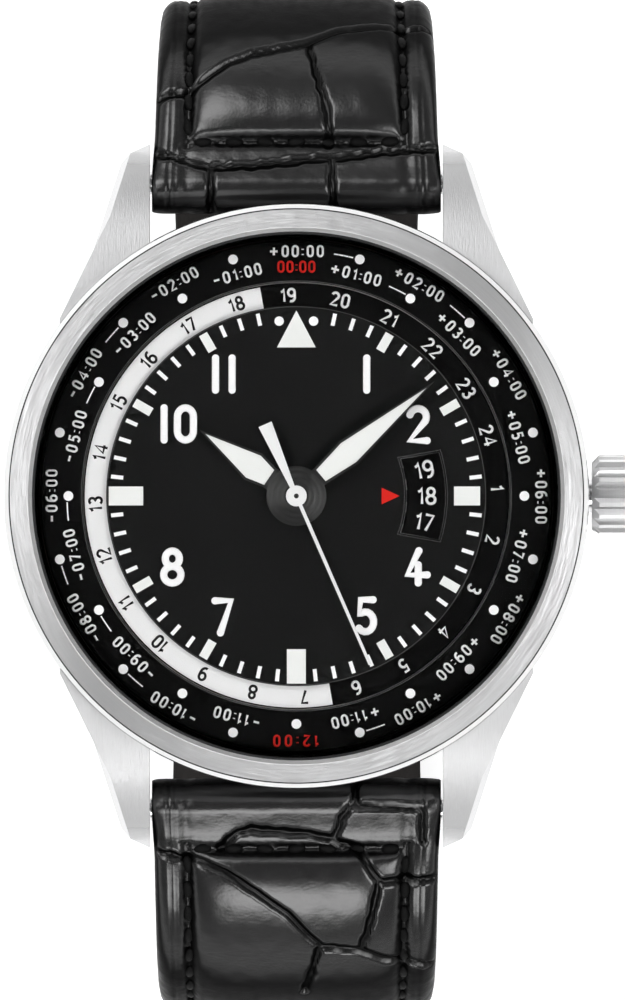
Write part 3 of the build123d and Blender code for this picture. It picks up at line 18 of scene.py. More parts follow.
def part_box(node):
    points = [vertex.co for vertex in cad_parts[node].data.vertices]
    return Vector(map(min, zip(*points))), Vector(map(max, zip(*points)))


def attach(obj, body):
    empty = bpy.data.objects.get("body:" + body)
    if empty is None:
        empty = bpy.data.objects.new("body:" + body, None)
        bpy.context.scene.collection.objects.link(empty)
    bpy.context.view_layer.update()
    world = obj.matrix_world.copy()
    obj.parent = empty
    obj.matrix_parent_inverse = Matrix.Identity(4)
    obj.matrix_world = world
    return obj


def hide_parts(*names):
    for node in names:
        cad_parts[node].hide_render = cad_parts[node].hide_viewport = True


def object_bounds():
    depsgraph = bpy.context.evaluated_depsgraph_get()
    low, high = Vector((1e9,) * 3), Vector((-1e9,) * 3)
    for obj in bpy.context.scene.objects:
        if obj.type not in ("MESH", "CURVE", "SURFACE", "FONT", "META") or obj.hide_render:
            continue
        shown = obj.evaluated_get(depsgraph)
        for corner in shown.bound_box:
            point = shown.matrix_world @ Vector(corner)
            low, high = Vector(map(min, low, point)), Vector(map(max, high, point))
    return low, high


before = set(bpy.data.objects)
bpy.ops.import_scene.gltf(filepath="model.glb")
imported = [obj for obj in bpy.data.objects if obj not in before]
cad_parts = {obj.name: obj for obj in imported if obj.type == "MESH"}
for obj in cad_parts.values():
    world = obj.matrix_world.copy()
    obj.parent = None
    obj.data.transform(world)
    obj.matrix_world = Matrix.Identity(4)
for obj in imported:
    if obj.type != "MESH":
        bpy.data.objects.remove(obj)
CAD_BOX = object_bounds()
LOG = logging.getLogger("watch")
MM = 0.001
BMesh = bmesh.types.BMesh
Socket = bpy.types.NodeSocket
Triple = tuple[float, float, float]
Pair = tuple[float, float]
PRINT_H = 0.012  # thickness of printed marks
LINE_H = 0.008  # thickness of the grey lines of painted highlight, and of printed areas
LAY_SCALE = 0.1  # units of the leather's map per millimetre
HOUR_TURN = 15.0  # degrees from one zone to the next
UNDERSIDE = 30.0  # shift of a second face in that map, past the first


class Brush(Enum):
    """Direction in which a metal is brushed, as the scale of its lines along each axis."""

    NONE = (5000.0, 5000.0, 5000.0)
    ROUND = (16000.0, 3.0, 16000.0)
    ALONG_Y = (16000.0, 260.0, 9000.0)
    SPUN_X = (14000.0, 300.0, 300.0)


class Wiring:
    """Adds and links nodes in one node tree."""

    def __init__(self, tree: bpy.types.NodeTree, material: bpy.types.Material | None = None) -> None:
        """Keep the tree that is wired, and its material."""
        self.tree = tree
        self.material = material

    def feed(self, node: bpy.types.Node, **inputs: object) -> None:
        """Set or link the inputs of a node.

        Args:
            node: the node.
            inputs: values or sockets by the input's name, with underscores for spaces, or by i
                and its number.
        """
        for key, value in inputs.items():
            numbered = key[0] == "i" and key[1:].isdigit()
            socket = node.inputs[int(key[1:]) if numbered else key.replace("_", " ")]
            if isinstance(value, Socket):
                self.tree.links.new(value, socket)
            else:
                socket.default_value = (*value, 1.0) if socket.type == "RGBA" else value

    def add(self, kind: str, settings: dict | None = None, **inputs: object) -> bpy.types.Node:
        """Add a node.

        Args:
            kind: the node's type without its prefix, or the name of a shared group.
            settings: properties of the node.
            inputs: its inputs, as feed takes them.

        Returns:
            The new node.
        """
        if kind in bpy.data.node_groups:
            node = self.tree.nodes.new("ShaderNodeGroup")
            node.node_tree = bpy.data.node_groups[kind]
        else:
            node = self.tree.nodes.new("ShaderNode" + kind)
        for key, value in (settings or {}).items():
            setattr(node, key, value)
        self.feed(node, **inputs)
        return node

    def math(self, operation: str, first: object, second: object = 0.0, third: object = 0.0) -> Socket:
        """Add a math node that isn't clamped.

        Args:
            operation: the node's operation.
            first: value or socket.
            second: value or socket.
            third: value or socket.

        Returns:
            The node's output.
        """
        return self.add("Math", {"operation": operation}, i0=first, i1=second, i2=third).outputs[0]

    def blend(self, share: object, low: object, high: object) -> Socket:
        """Mix two colours.

        Args:
            share: share of the second colour.
            low: the first colour or its socket.
            high: the second colour or its socket.

        Returns:
            The mixed colour.
        """
        return self.add("Mix", {"data_type": "RGBA"}, i0=share, i6=low, i7=high).outputs[2]

    def scaled(self, place: Socket, scale: Triple) -> Socket:
        """Scale coordinates along each axis."""
        return self.add("Mapping", Vector=place, Scale=scale).outputs[0]

    def rounded(self, place: Socket) -> Socket:
        """Turn coordinates into (radius, angle, height) round the axis."""
        return self.add("round_place", Place=place).outputs[0]

    def part(self, vector: Socket, axis: int) -> Socket:
        """Take one number out of a vector."""
        return self.add("SeparateXYZ", Vector=vector).outputs[axis]

    def band(self, value: Socket, rise: Pair, fall: Pair) -> Socket:
        """Mask a band of values.

        Args:
            value: the socket to read.
            rise: values between which the band starts.
            fall: values between which it ends, the greater one first.

        Returns:
            1 within the band and 0 outside it.
        """
        return self.math("MULTIPLY", self.ramp(value, *rise), self.ramp(value, *fall))

    def ramp(self, value: Socket, low: float, high: float, start: float = 0.0, end: float = 1.0) -> Socket:
        """Smoothly remap a value.

        Args:
            value: the socket to read.
            low: input that gives start.
            high: input that gives end.
            start: output at low.
            end: output at high.

        Returns:
            The remapped socket.
        """
        node = self.add("MapRange", {"interpolation_type": "SMOOTHSTEP"}, Value=value, From_Min=low,
                        From_Max=high, To_Min=start, To_Max=end)
        return node.outputs["Result"]


def new_group(name: str, inputs: dict[str, float | None],
              outputs: dict[str, str]) -> tuple[Wiring, dict, bpy.types.Node]:
    """Start a shared effect as a node group.

    Args:
        name: the group's name.
        inputs: float inputs with their defaults, None for a vector.
        outputs: outputs with their socket types.

    Returns:
        The wiring, the group's input sockets and the node that takes its outputs.
    """
    tree = bpy.data.node_groups.new(name, "ShaderNodeTree")
    for label, default in inputs.items():
        kind = "NodeSocketVector" if default is None else "NodeSocketFloat"
        socket = tree.interface.new_socket(label, in_out="INPUT", socket_type=kind)
        if default is not None:
            socket.default_value = default
    for label, kind in outputs.items():
        tree.interface.new_socket(label, in_out="OUTPUT", socket_type="NodeSocket" + kind)
    given = tree.nodes.new("NodeGroupInput").outputs
    return Wiring(tree), given, tree.nodes.new("NodeGroupOutput")


def build_effects() -> None:
    """Build the shared effects: round coordinates, brush lines, fine grain, soft blotches."""
    w, given, out = new_group("round_place", {"Place": None}, {"Round": "Vector"})
    x, y, z = w.add("SeparateXYZ", Vector=given["Place"]).outputs
    flat = w.add("CombineXYZ", X=x, Y=y).outputs[0]
    radius = w.add("VectorMath", {"operation": "LENGTH"}, i0=flat).outputs["Value"]
    angle = w.math("ARCTAN2", y, x)
    w.feed(out, Round=w.add("CombineXYZ", X=radius, Y=angle, Z=z).outputs[0])

    masked = {"Mask": "Float", "Normal": "Vector"}
    w, given, out = new_group("brush_lines", {"Place": None, "Depth": 0.3, "Reach": 0.00002}, masked)
    lines = w.add("TexNoise", Vector=given["Place"], Scale=1.0, Detail=3.0, Roughness=0.7).outputs[0]
    bump = w.add("Bump", Height=lines, Strength=given["Depth"], Distance=given["Reach"]).outputs[0]
    w.feed(out, Mask=lines, Normal=bump)

    w, given, out = new_group("fine_grain", {"Place": None, "Scale": 4000.0, "Depth": 0.2}, masked)
    speck = w.add("TexNoise", Vector=given["Place"], Scale=given["Scale"], Detail=4.0,
                  Roughness=0.6).outputs[0]
    bump = w.add("Bump", Height=speck, Strength=given["Depth"], Distance=0.00003).outputs[0]
    w.feed(out, Mask=speck, Normal=bump)

    w, given, out = new_group("soft_blotches", {"Place": None, "Scale": 150.0, "Low": 0.0, "High": 1.0},
                              {"Value": "Float"})
    cloud = w.add("TexNoise", Vector=given["Place"], Scale=given["Scale"], Detail=2.0).outputs[0]
    spread = w.add("MapRange", Value=cloud, From_Min=0.35, From_Max=0.65, To_Min=given["Low"],
                   To_Max=given["High"])
    w.feed(out, Value=spread.outputs[0])


def start_material(name: str) -> tuple[Wiring, bpy.types.Node, Socket]:
    """Start a material with its shader.

    Args:
        name: the material's name.

    Returns:
        The wiring, the Principled shader and the object coordinates.
    """
    material = bpy.data.materials.new(name)
    material.use_nodes = True
    w = Wiring(material.node_tree, material)
    shader = material.node_tree.nodes["Principled BSDF"]
    place = w.add("TexCoord").outputs["Object"]
    return w, shader, place


@dataclass(frozen=True)
class Metal:
    """Steel, brass or nickel, brushed or polished."""

    name: str
    colour: Triple
    roughness: float
    brush: Brush
    depth: float
    spread: float = 0.06
    dark_share: float = 0.86
    wear_scale: float = 220.0

    def material(self) -> bpy.types.Material:
        """Build the material.

        Returns:
            The material, with lines or fine grain in its normal and roughness.
        """
        w, shader, place = start_material(self.name)
        spot = w.rounded(place) if self.brush is Brush.ROUND else place
        mask, normal = w.add("brush_lines", Place=w.scaled(spot, self.brush.value), Depth=self.depth).outputs
        wear = w.add("soft_blotches", Place=place, Scale=self.wear_scale, Low=self.roughness - self.spread,
                     High=self.roughness + self.spread).outputs[0]
        dark = tuple(c * self.dark_share for c in self.colour)
        w.feed(shader, Metallic=1.0, Normal=normal, Base_Color=w.blend(mask, self.colour, dark),
               Roughness=w.math("MULTIPLY_ADD", mask, self.spread, wear))
        return w.material


@dataclass(frozen=True)
class Coated:
    """Paint, lacquer, print, rubber or plastic with a fine grain, and at will a pale ring of painted
    highlight.
    """

    name: str
    colour: Triple
    roughness: float
    specular: float
    grain: float
    scale: float
    change: float = 0.12
    # radii and colour of a pale ring that is a painted highlight of an edge
    pale_ring: Pair | None = None
    pale: Triple = (0.72, 0.72, 0.72)
    ring_edge: float = 0.00003
    wear: float = 0.05
    wear_scale: float = 400.0

    def material(self) -> bpy.types.Material:
        """Build the material.

        Returns:
            The material, grained and slightly uneven in tone.
        """
        w, shader, place = start_material(self.name)
        mask, normal = w.add("fine_grain", Place=place, Scale=self.scale, Depth=self.grain).outputs
        low = tuple(c * (1.0 - self.change) for c in self.colour)
        high = tuple(min(1.0, c * (1.0 + self.change)) for c in self.colour)
        tone = w.blend(mask, low, high)
        # painted highlight: a pale ring blended into the colour
        if self.pale_ring:
            (inner, outer), edge = self.pale_ring, self.ring_edge
            ring = w.band(w.part(w.rounded(place), 0), (inner - edge, inner + edge),
                          (outer + edge, outer - edge))
            tone = w.blend(ring, tone, self.pale)
        rough = w.add("soft_blotches", Place=place, Scale=self.wear_scale, Low=self.roughness - self.wear,
                      High=self.roughness + self.wear).outputs[0]
        w.feed(shader, Base_Color=tone, Roughness=rough, Normal=normal, Specular_IOR_Level=self.specular)
        return w.material


@dataclass(frozen=True)
class Hide:
    """Leather with pores and fine creases, glazed where coat is over 0; grooves get a darker painted shade.
    """

    name: str
    colour: Triple
    # colour of the painted shade in the grooves
    groove: Triple
    roughness: float
    coat: float
    pores: float
    specular: float = 0.02
    coat_roughness: float = 0.25
    coat_ior: float = 1.75
    facing: Pair = (0.16, 0.44)
    away_share: float = 0.015
    groove_loss: float = 0.75
    groove_rough: float = 0.3
    wear: Pair = (-0.07, 0.09)
    pore_scale: float = 45.0
    pore_depth: float = 0.35
    crease_scale: Triple = (26.0, 12.0, 1.0)
    crease_depth: float = 1.4
    cloud_scale: float = 14.0
    reach: float = 0.00006

    def material(self) -> bpy.types.Material:
        """Build the material.

        Returns:
            The material, reading the piece's own lay map and the groove attribute that sets its painted
            shade.
        """
        w, shader, _ = start_material(self.name)
        lay = w.add("UVMap", {"uv_map": "lay"}).outputs[0]
        groove = w.add("Attribute", {"attribute_name": "groove"}).outputs["Fac"]
        facing = w.add("LayerWeight", Blend=0.5).outputs["Facing"]
        gloss = w.math("MULTIPLY", w.ramp(facing, *self.facing, self.coat, self.coat * self.away_share),
                       w.math("SUBTRACT", 1.0, w.math("MULTIPLY", groove, self.groove_loss)))
        pore = w.add("TexVoronoi", {"distance": "EUCLIDEAN"}, Vector=lay, Scale=self.pore_scale).outputs[0]
        crease = w.add("TexNoise", Vector=w.scaled(lay, self.crease_scale), Scale=1.0, Detail=7.0,
                       Roughness=0.6).outputs[0]
        height = w.math("MULTIPLY_ADD", crease, self.crease_depth, w.math("MULTIPLY", pore, self.pore_depth))
        bump = w.add("Bump", Height=height, Strength=self.pores, Distance=self.reach).outputs[0]
        cloud = w.add("TexNoise", Vector=lay, Scale=self.cloud_scale, Detail=3.0).outputs[0]
        rough = w.ramp(cloud, 0.3, 0.7, *(self.roughness + change for change in self.wear))
        # painted shade: the grooves take the darker colour, as though in shadow
        w.feed(shader, Base_Color=w.blend(groove, self.colour, self.groove), Normal=bump, Coat_Normal=bump,
               Roughness=w.math("MULTIPLY_ADD", groove, self.groove_rough, rough),
               Specular_IOR_Level=self.specular, Coat_Weight=gloss, Coat_Roughness=self.coat_roughness,
               Coat_IOR=self.coat_ior)
        return w.material


@dataclass(frozen=True)
class Clear:
    """Domed sapphire that hardly reflects, or ruby."""

    name: str
    colour: Triple = (1.0, 1.0, 1.0)
    ior: float = 1.06
    specular: float = 0.3
    roughness: float = 0.0

    def material(self) -> bpy.types.Material:
        """Build the material.

        Returns:
            The glass material with faint wipe marks in its normal.
        """
        w, shader, place = start_material(self.name)
        marks = w.add("fine_grain", Place=place, Scale=90.0, Depth=0.01).outputs[1]
        w.feed(shader, Base_Color=self.colour, Transmission_Weight=1.0, IOR=self.ior,
               Roughness=self.roughness, Specular_IOR_Level=self.specular, Normal=marks)
        return w.material


@dataclass(frozen=True)
class CaseSteel:
    """Case steel: brushed along Y on top, round the flank, polished on bevels."""

    name: str = "steel_case"
    light: Triple = (0.68, 0.68, 0.685)
    dark: Triple = (0.56, 0.56, 0.565)
    top: Pair = (0.72, 0.78)
    side: Pair = (0.2, 0.12)
    depth: Pair = (0.6, 0.03)  # of the lines: what satin adds, and on a bevel
    roughness: Pair = (0.30, 0.12)  # the same
    wear: float = 0.05
    reach: float = 0.00004

    def material(self) -> bpy.types.Material:
        """Build the material.

        Returns:
            The material, chosen by the way each face looks.
        """
        w, shader, place = start_material(self.name)
        rise = w.math("ABSOLUTE", w.part(w.add("NewGeometry").outputs["Normal"], 2))
        top = w.ramp(rise, *self.top)
        satin = w.math("MAXIMUM", top, w.ramp(rise, *self.side))
        lines = w.add("Mix", {"data_type": "VECTOR"}, i0=top,
                      i4=w.scaled(w.rounded(place), (9000.0, 4.0, 16000.0)),
                      i5=w.scaled(place, (16000.0, 240.0, 3000.0))).outputs[1]
        mask, normal = w.add("brush_lines", Place=lines, Depth=w.math("MULTIPLY_ADD", satin, *self.depth),
                             Reach=self.reach).outputs
        added, base = self.roughness
        wear = w.add("soft_blotches", Place=place, Scale=200.0, Low=0.0, High=self.wear).outputs[0]
        w.feed(shader, Metallic=1.0, Normal=normal, Base_Color=w.blend(mask, self.light, self.dark),
               Roughness=w.math("MULTIPLY_ADD", satin, added, w.math("ADD", wear, base)))
        return w.material


@dataclass(frozen=True)
class BezelSteel:
    """Bezel steel: brushed on its flat top, polished inside in a paler colour that is partly painted
    highlight, with a dark joint at the rim.
    """

    name: str = "steel_bezel"
    light: Triple = (0.78, 0.78, 0.785)
    dark: Triple = (0.60, 0.60, 0.605)
    # the polish is real; its colour, paler than the brushed steel, is a painted highlight
    polished: Triple = (0.93, 0.93, 0.93)
    gap: Triple = (0.02, 0.02, 0.02)
    flat: tuple[Pair, Pair] = ((0.02062, 0.02068), (0.02205, 0.02198))
    joint: tuple[Pair, Pair] = ((0.02197, 0.02201), (0.02211, 0.02207))
    depth: Pair = (0.5, 0.03)  # of the lines: what the flat adds, and elsewhere
    roughness: Pair = (-0.14, 0.46)  # the same
    reach: float = 0.00003

    def material(self) -> bpy.types.Material:
        """Build the material.

        Returns:
            The material, zoned by distance from the axis.
        """
        w, shader, place = start_material(self.name)
        spot = w.rounded(place)
        radius = w.part(spot, 0)
        flat = w.band(radius, *self.flat)
        joint = w.band(radius, *self.joint)
        mask, normal = w.add("brush_lines", Place=w.scaled(spot, (24000.0, 2.0, 9000.0)),
                             Depth=w.math("MULTIPLY_ADD", flat, *self.depth), Reach=self.reach).outputs
        # painted highlight: the polished zones take the paler colour
        tint = w.blend(flat, self.polished, w.blend(mask, self.light, self.dark))
        w.feed(shader, Metallic=1.0, Normal=normal, Base_Color=w.blend(joint, tint, self.gap),
               Roughness=w.math("MULTIPLY_ADD", flat, *self.roughness))
        return w.material


@dataclass(frozen=True)
class HandFrame:
    """Black of the hands, with fine rings turned into their hubs."""

    name: str = "hand_frame"
    low: Triple = (0.010, 0.010, 0.010)
    high: Triple = (0.016, 0.016, 0.016)
    roughness: float = 0.32
    specular: float = 0.5
    rings_per_metre: float = 2400.0
    hub: Pair = (0.0024, 0.0022)

    def material(self) -> bpy.types.Material:
        """Build the material.

        Returns:
            The material, ringed within the hub's radius.
        """
        w, shader, place = start_material(self.name)
        radius = w.part(w.rounded(place), 0)
        rings = w.math("SINE", w.math("MULTIPLY", radius, self.rings_per_metre * math.tau))
        grain = w.add("fine_grain", Place=place, Scale=9000.0, Depth=0.1).outputs[0]
        height = w.math("MULTIPLY_ADD", w.math("MULTIPLY", rings, w.ramp(radius, *self.hub)), 0.5,
                        w.math("MULTIPLY", grain, 0.1))
        bump = w.add("Bump", Height=height, Strength=0.5, Distance=0.00006).outputs[0]
        w.feed(shader, Base_Color=w.blend(grain, self.low, self.high), Normal=bump, Roughness=self.roughness,
               Specular_IOR_Level=self.specular)
        return w.material


@dataclass
class Finishes:
    """Every finish of the watch, made once."""

    made: dict[str, bpy.types.Material] = field(default_factory=dict)

    def build(self) -> None:
        """Make the materials."""
        steel = (0.63, 0.63, 0.635)
        listed = (
            Metal("steel_round_brushed", steel, 0.34, Brush.ROUND, 0.4, 0.015),
            Metal("steel_polished", (0.70, 0.70, 0.71), 0.12, Brush.NONE, 0.05, 0.03),
            Metal("steel_crown", (0.80, 0.80, 0.805), 0.33, Brush.SPUN_X, 0.12, 0.04),
            Metal("steel_satin_x", steel, 0.27, Brush.SPUN_X, 0.3, 0.02),
            Metal("steel_blued", (0.02, 0.03, 0.09), 0.22, Brush.NONE, 0.08, 0.03),
            Metal("brass_gilt", (0.76, 0.56, 0.27), 0.32, Brush.ROUND, 0.3),
            Metal("nickel_grained", (0.58, 0.57, 0.55), 0.33, Brush.ALONG_Y, 0.4),
            Metal("nickel_round", (0.6, 0.59, 0.57), 0.3, Brush.ROUND, 0.4),
            Metal("heavy_alloy", (0.42, 0.40, 0.38), 0.35, Brush.ROUND, 0.5),
            Coated("dial_black", (0.0078, 0.0079, 0.0079), 0.5, 0.06, 0.2, 9000.0),
            Coated("zone_black", (0.0018, 0.0018, 0.0018), 0.45, 0.06, 0.1, 9000.0),
            Coated("ring_black", (0.0015, 0.0015, 0.0015), 0.4, 0.08, 0.08, 9000.0),
            Coated("hand_black", (0.012, 0.012, 0.012), 0.3, 0.5, 0.1, 9000.0),
            # the flange's pale ring is a painted highlight near its inner edge
            Coated("flange_black", (0.01, 0.01, 0.01), 0.3, 0.3, 0.1, 9000.0, pale_ring=(0.01966, 0.01978)),
            Coated("print_white", (0.95, 0.95, 0.95), 0.55, 0.1, 0.1, 12000.0, 0.03),
            # grey of the fine lines that paint edge highlights on the dial and zone ring
            Coated("edge_highlight_grey", (0.07, 0.07, 0.07), 0.5, 0.2, 0.1, 12000.0, 0.05),
            Coated("print_red", (0.66, 0.012, 0.006), 0.45, 0.2, 0.1, 12000.0, 0.05),
            Coated("print_black", (0.005, 0.005, 0.005), 0.5, 0.2, 0.1, 12000.0),
            Coated("enamel_white", (0.82, 0.82, 0.82), 0.35, 0.3, 0.08, 9000.0, 0.03),
            Coated("lume_white", (0.84, 0.85, 0.83), 0.6, 0.2, 0.5, 16000.0, 0.04),
            Coated("gasket_rubber", (0.012, 0.012, 0.013), 0.6, 0.3, 0.3, 3000.0),
            Coated("black_nylon", (0.02, 0.02, 0.022), 0.5, 0.3, 0.3, 3000.0),
            Coated("thread_black", (0.003, 0.003, 0.003), 0.6, 0.12, 0.9, 9000.0),
            # each leather's second colour is the painted shade of its grooves
            Hide("leather_glazed", (0.0025, 0.0025, 0.0026), (0.0006, 0.0006, 0.0006), 0.35, 1.0, 0.18),
            Hide("leather_lining", (0.030, 0.028, 0.027), (0.012, 0.011, 0.011), 0.62, 0.0, 0.6),
            Clear("sapphire_clear"),
            Clear("ruby_clear", (0.75, 0.03, 0.10), 1.5, 0.4, 0.05),
            CaseSteel(),
            BezelSteel(),
            HandFrame(),
        )
        for finish in listed:
            self.made[finish.name] = finish.material()


FINISH = Finishes()


def finish_piece(bm: BMesh, name: str, finish: str, body: str, smooth: bool = True,
                 replaces: tuple[str, ...] = ()) -> bpy.types.Object:
    """Turn a bmesh into a piece that rides on its body.

    Args:
        bm: the mesh, in millimetres in the watch's frame; it is freed.
        name: the piece's name.
        finish: the finish's name.
        body: the body that it rides on.
        smooth: shade smoothly.
        replaces: CAD nodes that it stands for.

    Returns:
        The object.
    """
    bmesh.ops.transform(bm, matrix=Matrix.Scale(MM, 4), verts=bm.verts)
    mesh = bpy.data.meshes.new(name)
    bm.to_mesh(mesh)
    bm.free()
    mesh.materials.append(FINISH.made[finish])
    if smooth:
        mesh.polygons.foreach_set("use_smooth", [True] * len(mesh.polygons))
    piece = bpy.data.objects.new(name, mesh)
    bpy.context.collection.objects.link(piece)
    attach(piece, body)
    if replaces:
        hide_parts(*replaces)
    LOG.info("%s: %d faces on %s", name, len(mesh.polygons), body)
    return piece


def arc(cx: float, cy: float, rx: float, ry: float, start: float, end: float, steps: int = 12) -> list[Pair]:
    """Points of an elliptic arc, with its angles in degrees."""
    turns = [math.radians(start + (end - start) * n / steps) for n in range(steps + 1)]
    return [(cx + rx * math.cos(turn), cy + ry * math.sin(turn)) for turn in turns]


class Pen:
    """Numbers drawn in strokes, flat on their ground."""

    made: dict[tuple, bpy.types.Mesh] = {}

    @staticmethod
    def strokes(mark: str, flag: bool) -> list[tuple[list[Pair], bool]]:
        """Strokes of a mark in a box one high, as (points, closed).

        Args:
            mark: a digit, plus, minus or colon.
            flag: give the 1 its flag.

        Returns:
            The strokes.
        """
        shapes = {
            "0": [(arc(0.25, 0.72, 0.25, 0.28, 0, 180) + arc(0.25, 0.28, 0.25, 0.28, 180, 360), True)],
            "1": [([(0.0, 0.76), (0.17, 0.84), (0.24, 1.0), (0.24, 0.0)] if flag else
                   [(0.0, 0.0), (0.0, 1.0)], False)],
            "2": [(arc(0.26, 0.74, 0.26, 0.26, 165, -32) + [(0.0, 0.0), (0.54, 0.0)], False)],
            "3": [(arc(0.25, 0.76, 0.23, 0.24, 150, -90) + arc(0.25, 0.26, 0.26, 0.26, 90, -150), False)],
            "4": [([(0.46, 0.0), (0.46, 1.0), (0.0, 0.28), (0.64, 0.28)], False)] if flag else
                 [([(0.34, 0.0), (0.34, 0.56)], False), ([(0.36, 1.0), (0.0, 0.25), (0.62, 0.25)], False)],
            "5": [([(0.48, 1.0), (0.09, 1.0), (0.05, 0.56)] + arc(0.24, 0.31, 0.26, 0.31, 118, -140), False)],
            "6": [(arc(0.27, 0.29, 0.26, 0.29, 150, 510, 22), True),
                  (arc(0.31, 0.62, 0.30, 0.38, 70, 180) + [(0.01, 0.29)], False)],
            "7": [([(0.0, 1.0), (0.50, 1.0), (0.17, 0.0)], False)],
            "8": [(arc(0.27, 0.76, 0.22, 0.24, -90, 270, 22), True),
                  (arc(0.27, 0.26, 0.27, 0.26, -90, 270, 22), True)],
            "9": [(arc(0.26, 0.71, 0.26, 0.29, -30, 330, 22), True),
                  (arc(0.22, 0.38, 0.30, 0.38, -110, 0) + [(0.52, 0.71)], False)],
            "+": [([(0.0, 0.47), (0.76, 0.47)], False), ([(0.38, 0.09), (0.38, 0.85)], False)],
            "-": [([(0.0, 0.47), (0.56, 0.47)], False)],
            ":": [([(0.0, 0.12), (0.0, 0.22)], False), ([(0.0, 0.62), (0.0, 0.72)], False)],
        }
        return shapes[mark]

    @classmethod
    def mark(cls, mark: str, tall: float, stroke: float, rounded: bool) -> bpy.types.Mesh:
        """Mesh of one mark, its stroke's middle line starting at x 0.

        Args:
            mark: the mark.
            tall: height over the strokes' middle lines.
            stroke: width of the pen.
            rounded: round the stroke's ends.

        Returns:
            The mesh, kept for the next use of the same mark.
        """
        key = (mark, tall, stroke, rounded)
        if key in cls.made:
            return cls.made[key]
        bm = bmesh.new()
        for points, closed in cls.strokes(mark, not rounded):
            curve = bpy.data.curves.new("stroke", "CURVE")
            curve.dimensions = "3D"
            curve.bevel_depth = stroke / 2
            curve.bevel_resolution = 2 if rounded else 0
            curve.use_fill_caps = True
            spline = curve.splines.new("POLY")
            spline.points.add(len(points) - 1)
            for point, (x, y) in zip(spline.points, points):
                point.co = (x * tall, y * tall, 0.0, 1.0)
            spline.use_cyclic_u = closed
            holder = bpy.data.objects.new("stroke", curve)
            line = bpy.data.meshes.new_from_object(holder)
            bm.from_mesh(line)
            bpy.data.objects.remove(holder)
            bpy.data.curves.remove(curve)
            bpy.data.meshes.remove(line)
            if rounded and not closed:
                for x, y in (points[0], points[-1]):
                    spot = Matrix.Translation((x * tall, y * tall, 0.0))
                    bmesh.ops.create_uvsphere(bm, u_segments=16, v_segments=8, radius=stroke / 2, matrix=spot)
        bmesh.ops.scale(bm, vec=(1.0, 1.0, PRINT_H / stroke), verts=bm.verts)
        mesh = bpy.data.meshes.new("mark")
        bm.to_mesh(mesh)
        bm.free()
        cls.made[key] = mesh
        return mesh

    @classmethod
    def write(cls, bm: BMesh, text: str, tall: float, stroke: float, place: Matrix, gap: float,
              rounded: bool = False) -> None:
        """Add a word to a mesh, centred on its place.

        Args:
            bm: the mesh to add to.
            text: the marks.
            tall: cap height over all.
            stroke: width of the pen.
            place: where the word's middle goes, its up along the place's Y.
            gap: clear space between marks.
            rounded: round the strokes' ends.
        """
        reach = tall - stroke
        drawn = [cls.strokes(character, not rounded) for character in text]
        widths = [max(x for line, _ in lines for x, _ in line) * reach for lines in drawn]
        left = -(sum(widths) + (gap + stroke) * (len(text) - 1)) / 2
        for character, width in zip(text, widths):
            mesh = cls.mark(character, reach, stroke, rounded).copy()
            mesh.transform(place @ Matrix.Translation((left, -reach / 2, 0.0)))
            bm.from_mesh(mesh)
            bpy.data.meshes.remove(mesh)
            left += width + gap + stroke


def polar(radius: float, clock: float, height: float = 0.0) -> Vector:
    """Point at a radius, with the angle in degrees clockwise from 12 o'clock."""
    turn = math.radians(clock)
    return Vector((radius * math.sin(turn), radius * math.cos(turn), height))


def outward(radius: float, clock: float, height: float) -> Matrix:
    """Place on the dial whose Y points outward, at an angle clockwise from 12 o'clock."""
    turn = Matrix.Rotation(math.radians(-clock), 4, "Z")
    return Matrix.Translation(polar(radius, clock, height)) @ turn


def clamp(value: float) -> float:
    """Value kept from 0 to 1."""
    return min(1.0, max(0.0, value))


def smoothstep(low: float, high: float, value: float) -> float:
    """Smooth step from 0 at low to 1 at high."""
    share = clamp((value - low) / (high - low))
    return share * share * (3.0 - 2.0 * share)


def bell(distance: float, spread: float) -> float:
    """Bell curve, 1 in its middle."""
    return math.exp(-((distance / spread) ** 2))


def ripple(x: float, y: float, z: float) -> float:
    """Smooth noise, from about -1 to 1."""
    return noise.noise(Vector((x, y, z)))


def rounding(place: float, start: float, reach: float) -> float:
    """Share of a quarter circle's drop at a place past its start."""
    return 1.0 - math.sqrt(1.0 - clamp((place - start) / reach) ** 2)


def disc(bm: BMesh, radius: float, height: float, place: Matrix, sides: int) -> list[bmesh.types.BMVert]:
    """Add a disc or rod.

    Args:
        bm: the mesh to add to.
        radius: its radius.
        height: its height, along the place's Z.
        place: its middle and direction.
        sides: number of its sides.

    Returns:
        Its vertices.
    """
    return bmesh.ops.create_cone(bm, cap_ends=True, segments=sides, radius1=radius, radius2=radius,
                                 depth=height, matrix=place)["verts"]


def block(bm: BMesh, place: Matrix, size: Triple) -> None:
    """Add a box of a size, centred on its place."""
    bmesh.ops.create_cube(bm, size=1.0, matrix=place @ Matrix.Diagonal((*size, 1.0)))


def close(bm: BMesh) -> None:
    """Fill every open edge loop."""
    bmesh.ops.holes_fill(bm, edges=[e for e in bm.edges if e.is_boundary], sides=0)


def lay_map(bm: BMesh, place: Callable[[bmesh.types.BMVert], Pair]) -> None:
    """Write the map that leather reads.

    Args:
        bm: the mesh.
        place: gives a vertex its place along and across the leather, in millimetres.
    """
    lay = bm.loops.layers.uv.new("lay")
    for face in bm.faces:
        for loop in face.loops:
            loop[lay].uv = [n * LAY_SCALE for n in place(loop.vert)]


def thicken(bm: BMesh, height: float) -> None:
    """Give flat faces a thickness and turn every face outward.

    Args:
        bm: the mesh of flat faces.
        height: the thickness.
    """
    bm.normal_update()
    bmesh.ops.solidify(bm, geom=list(bm.faces), thickness=height)
    bmesh.ops.recalc_face_normals(bm, faces=bm.faces)


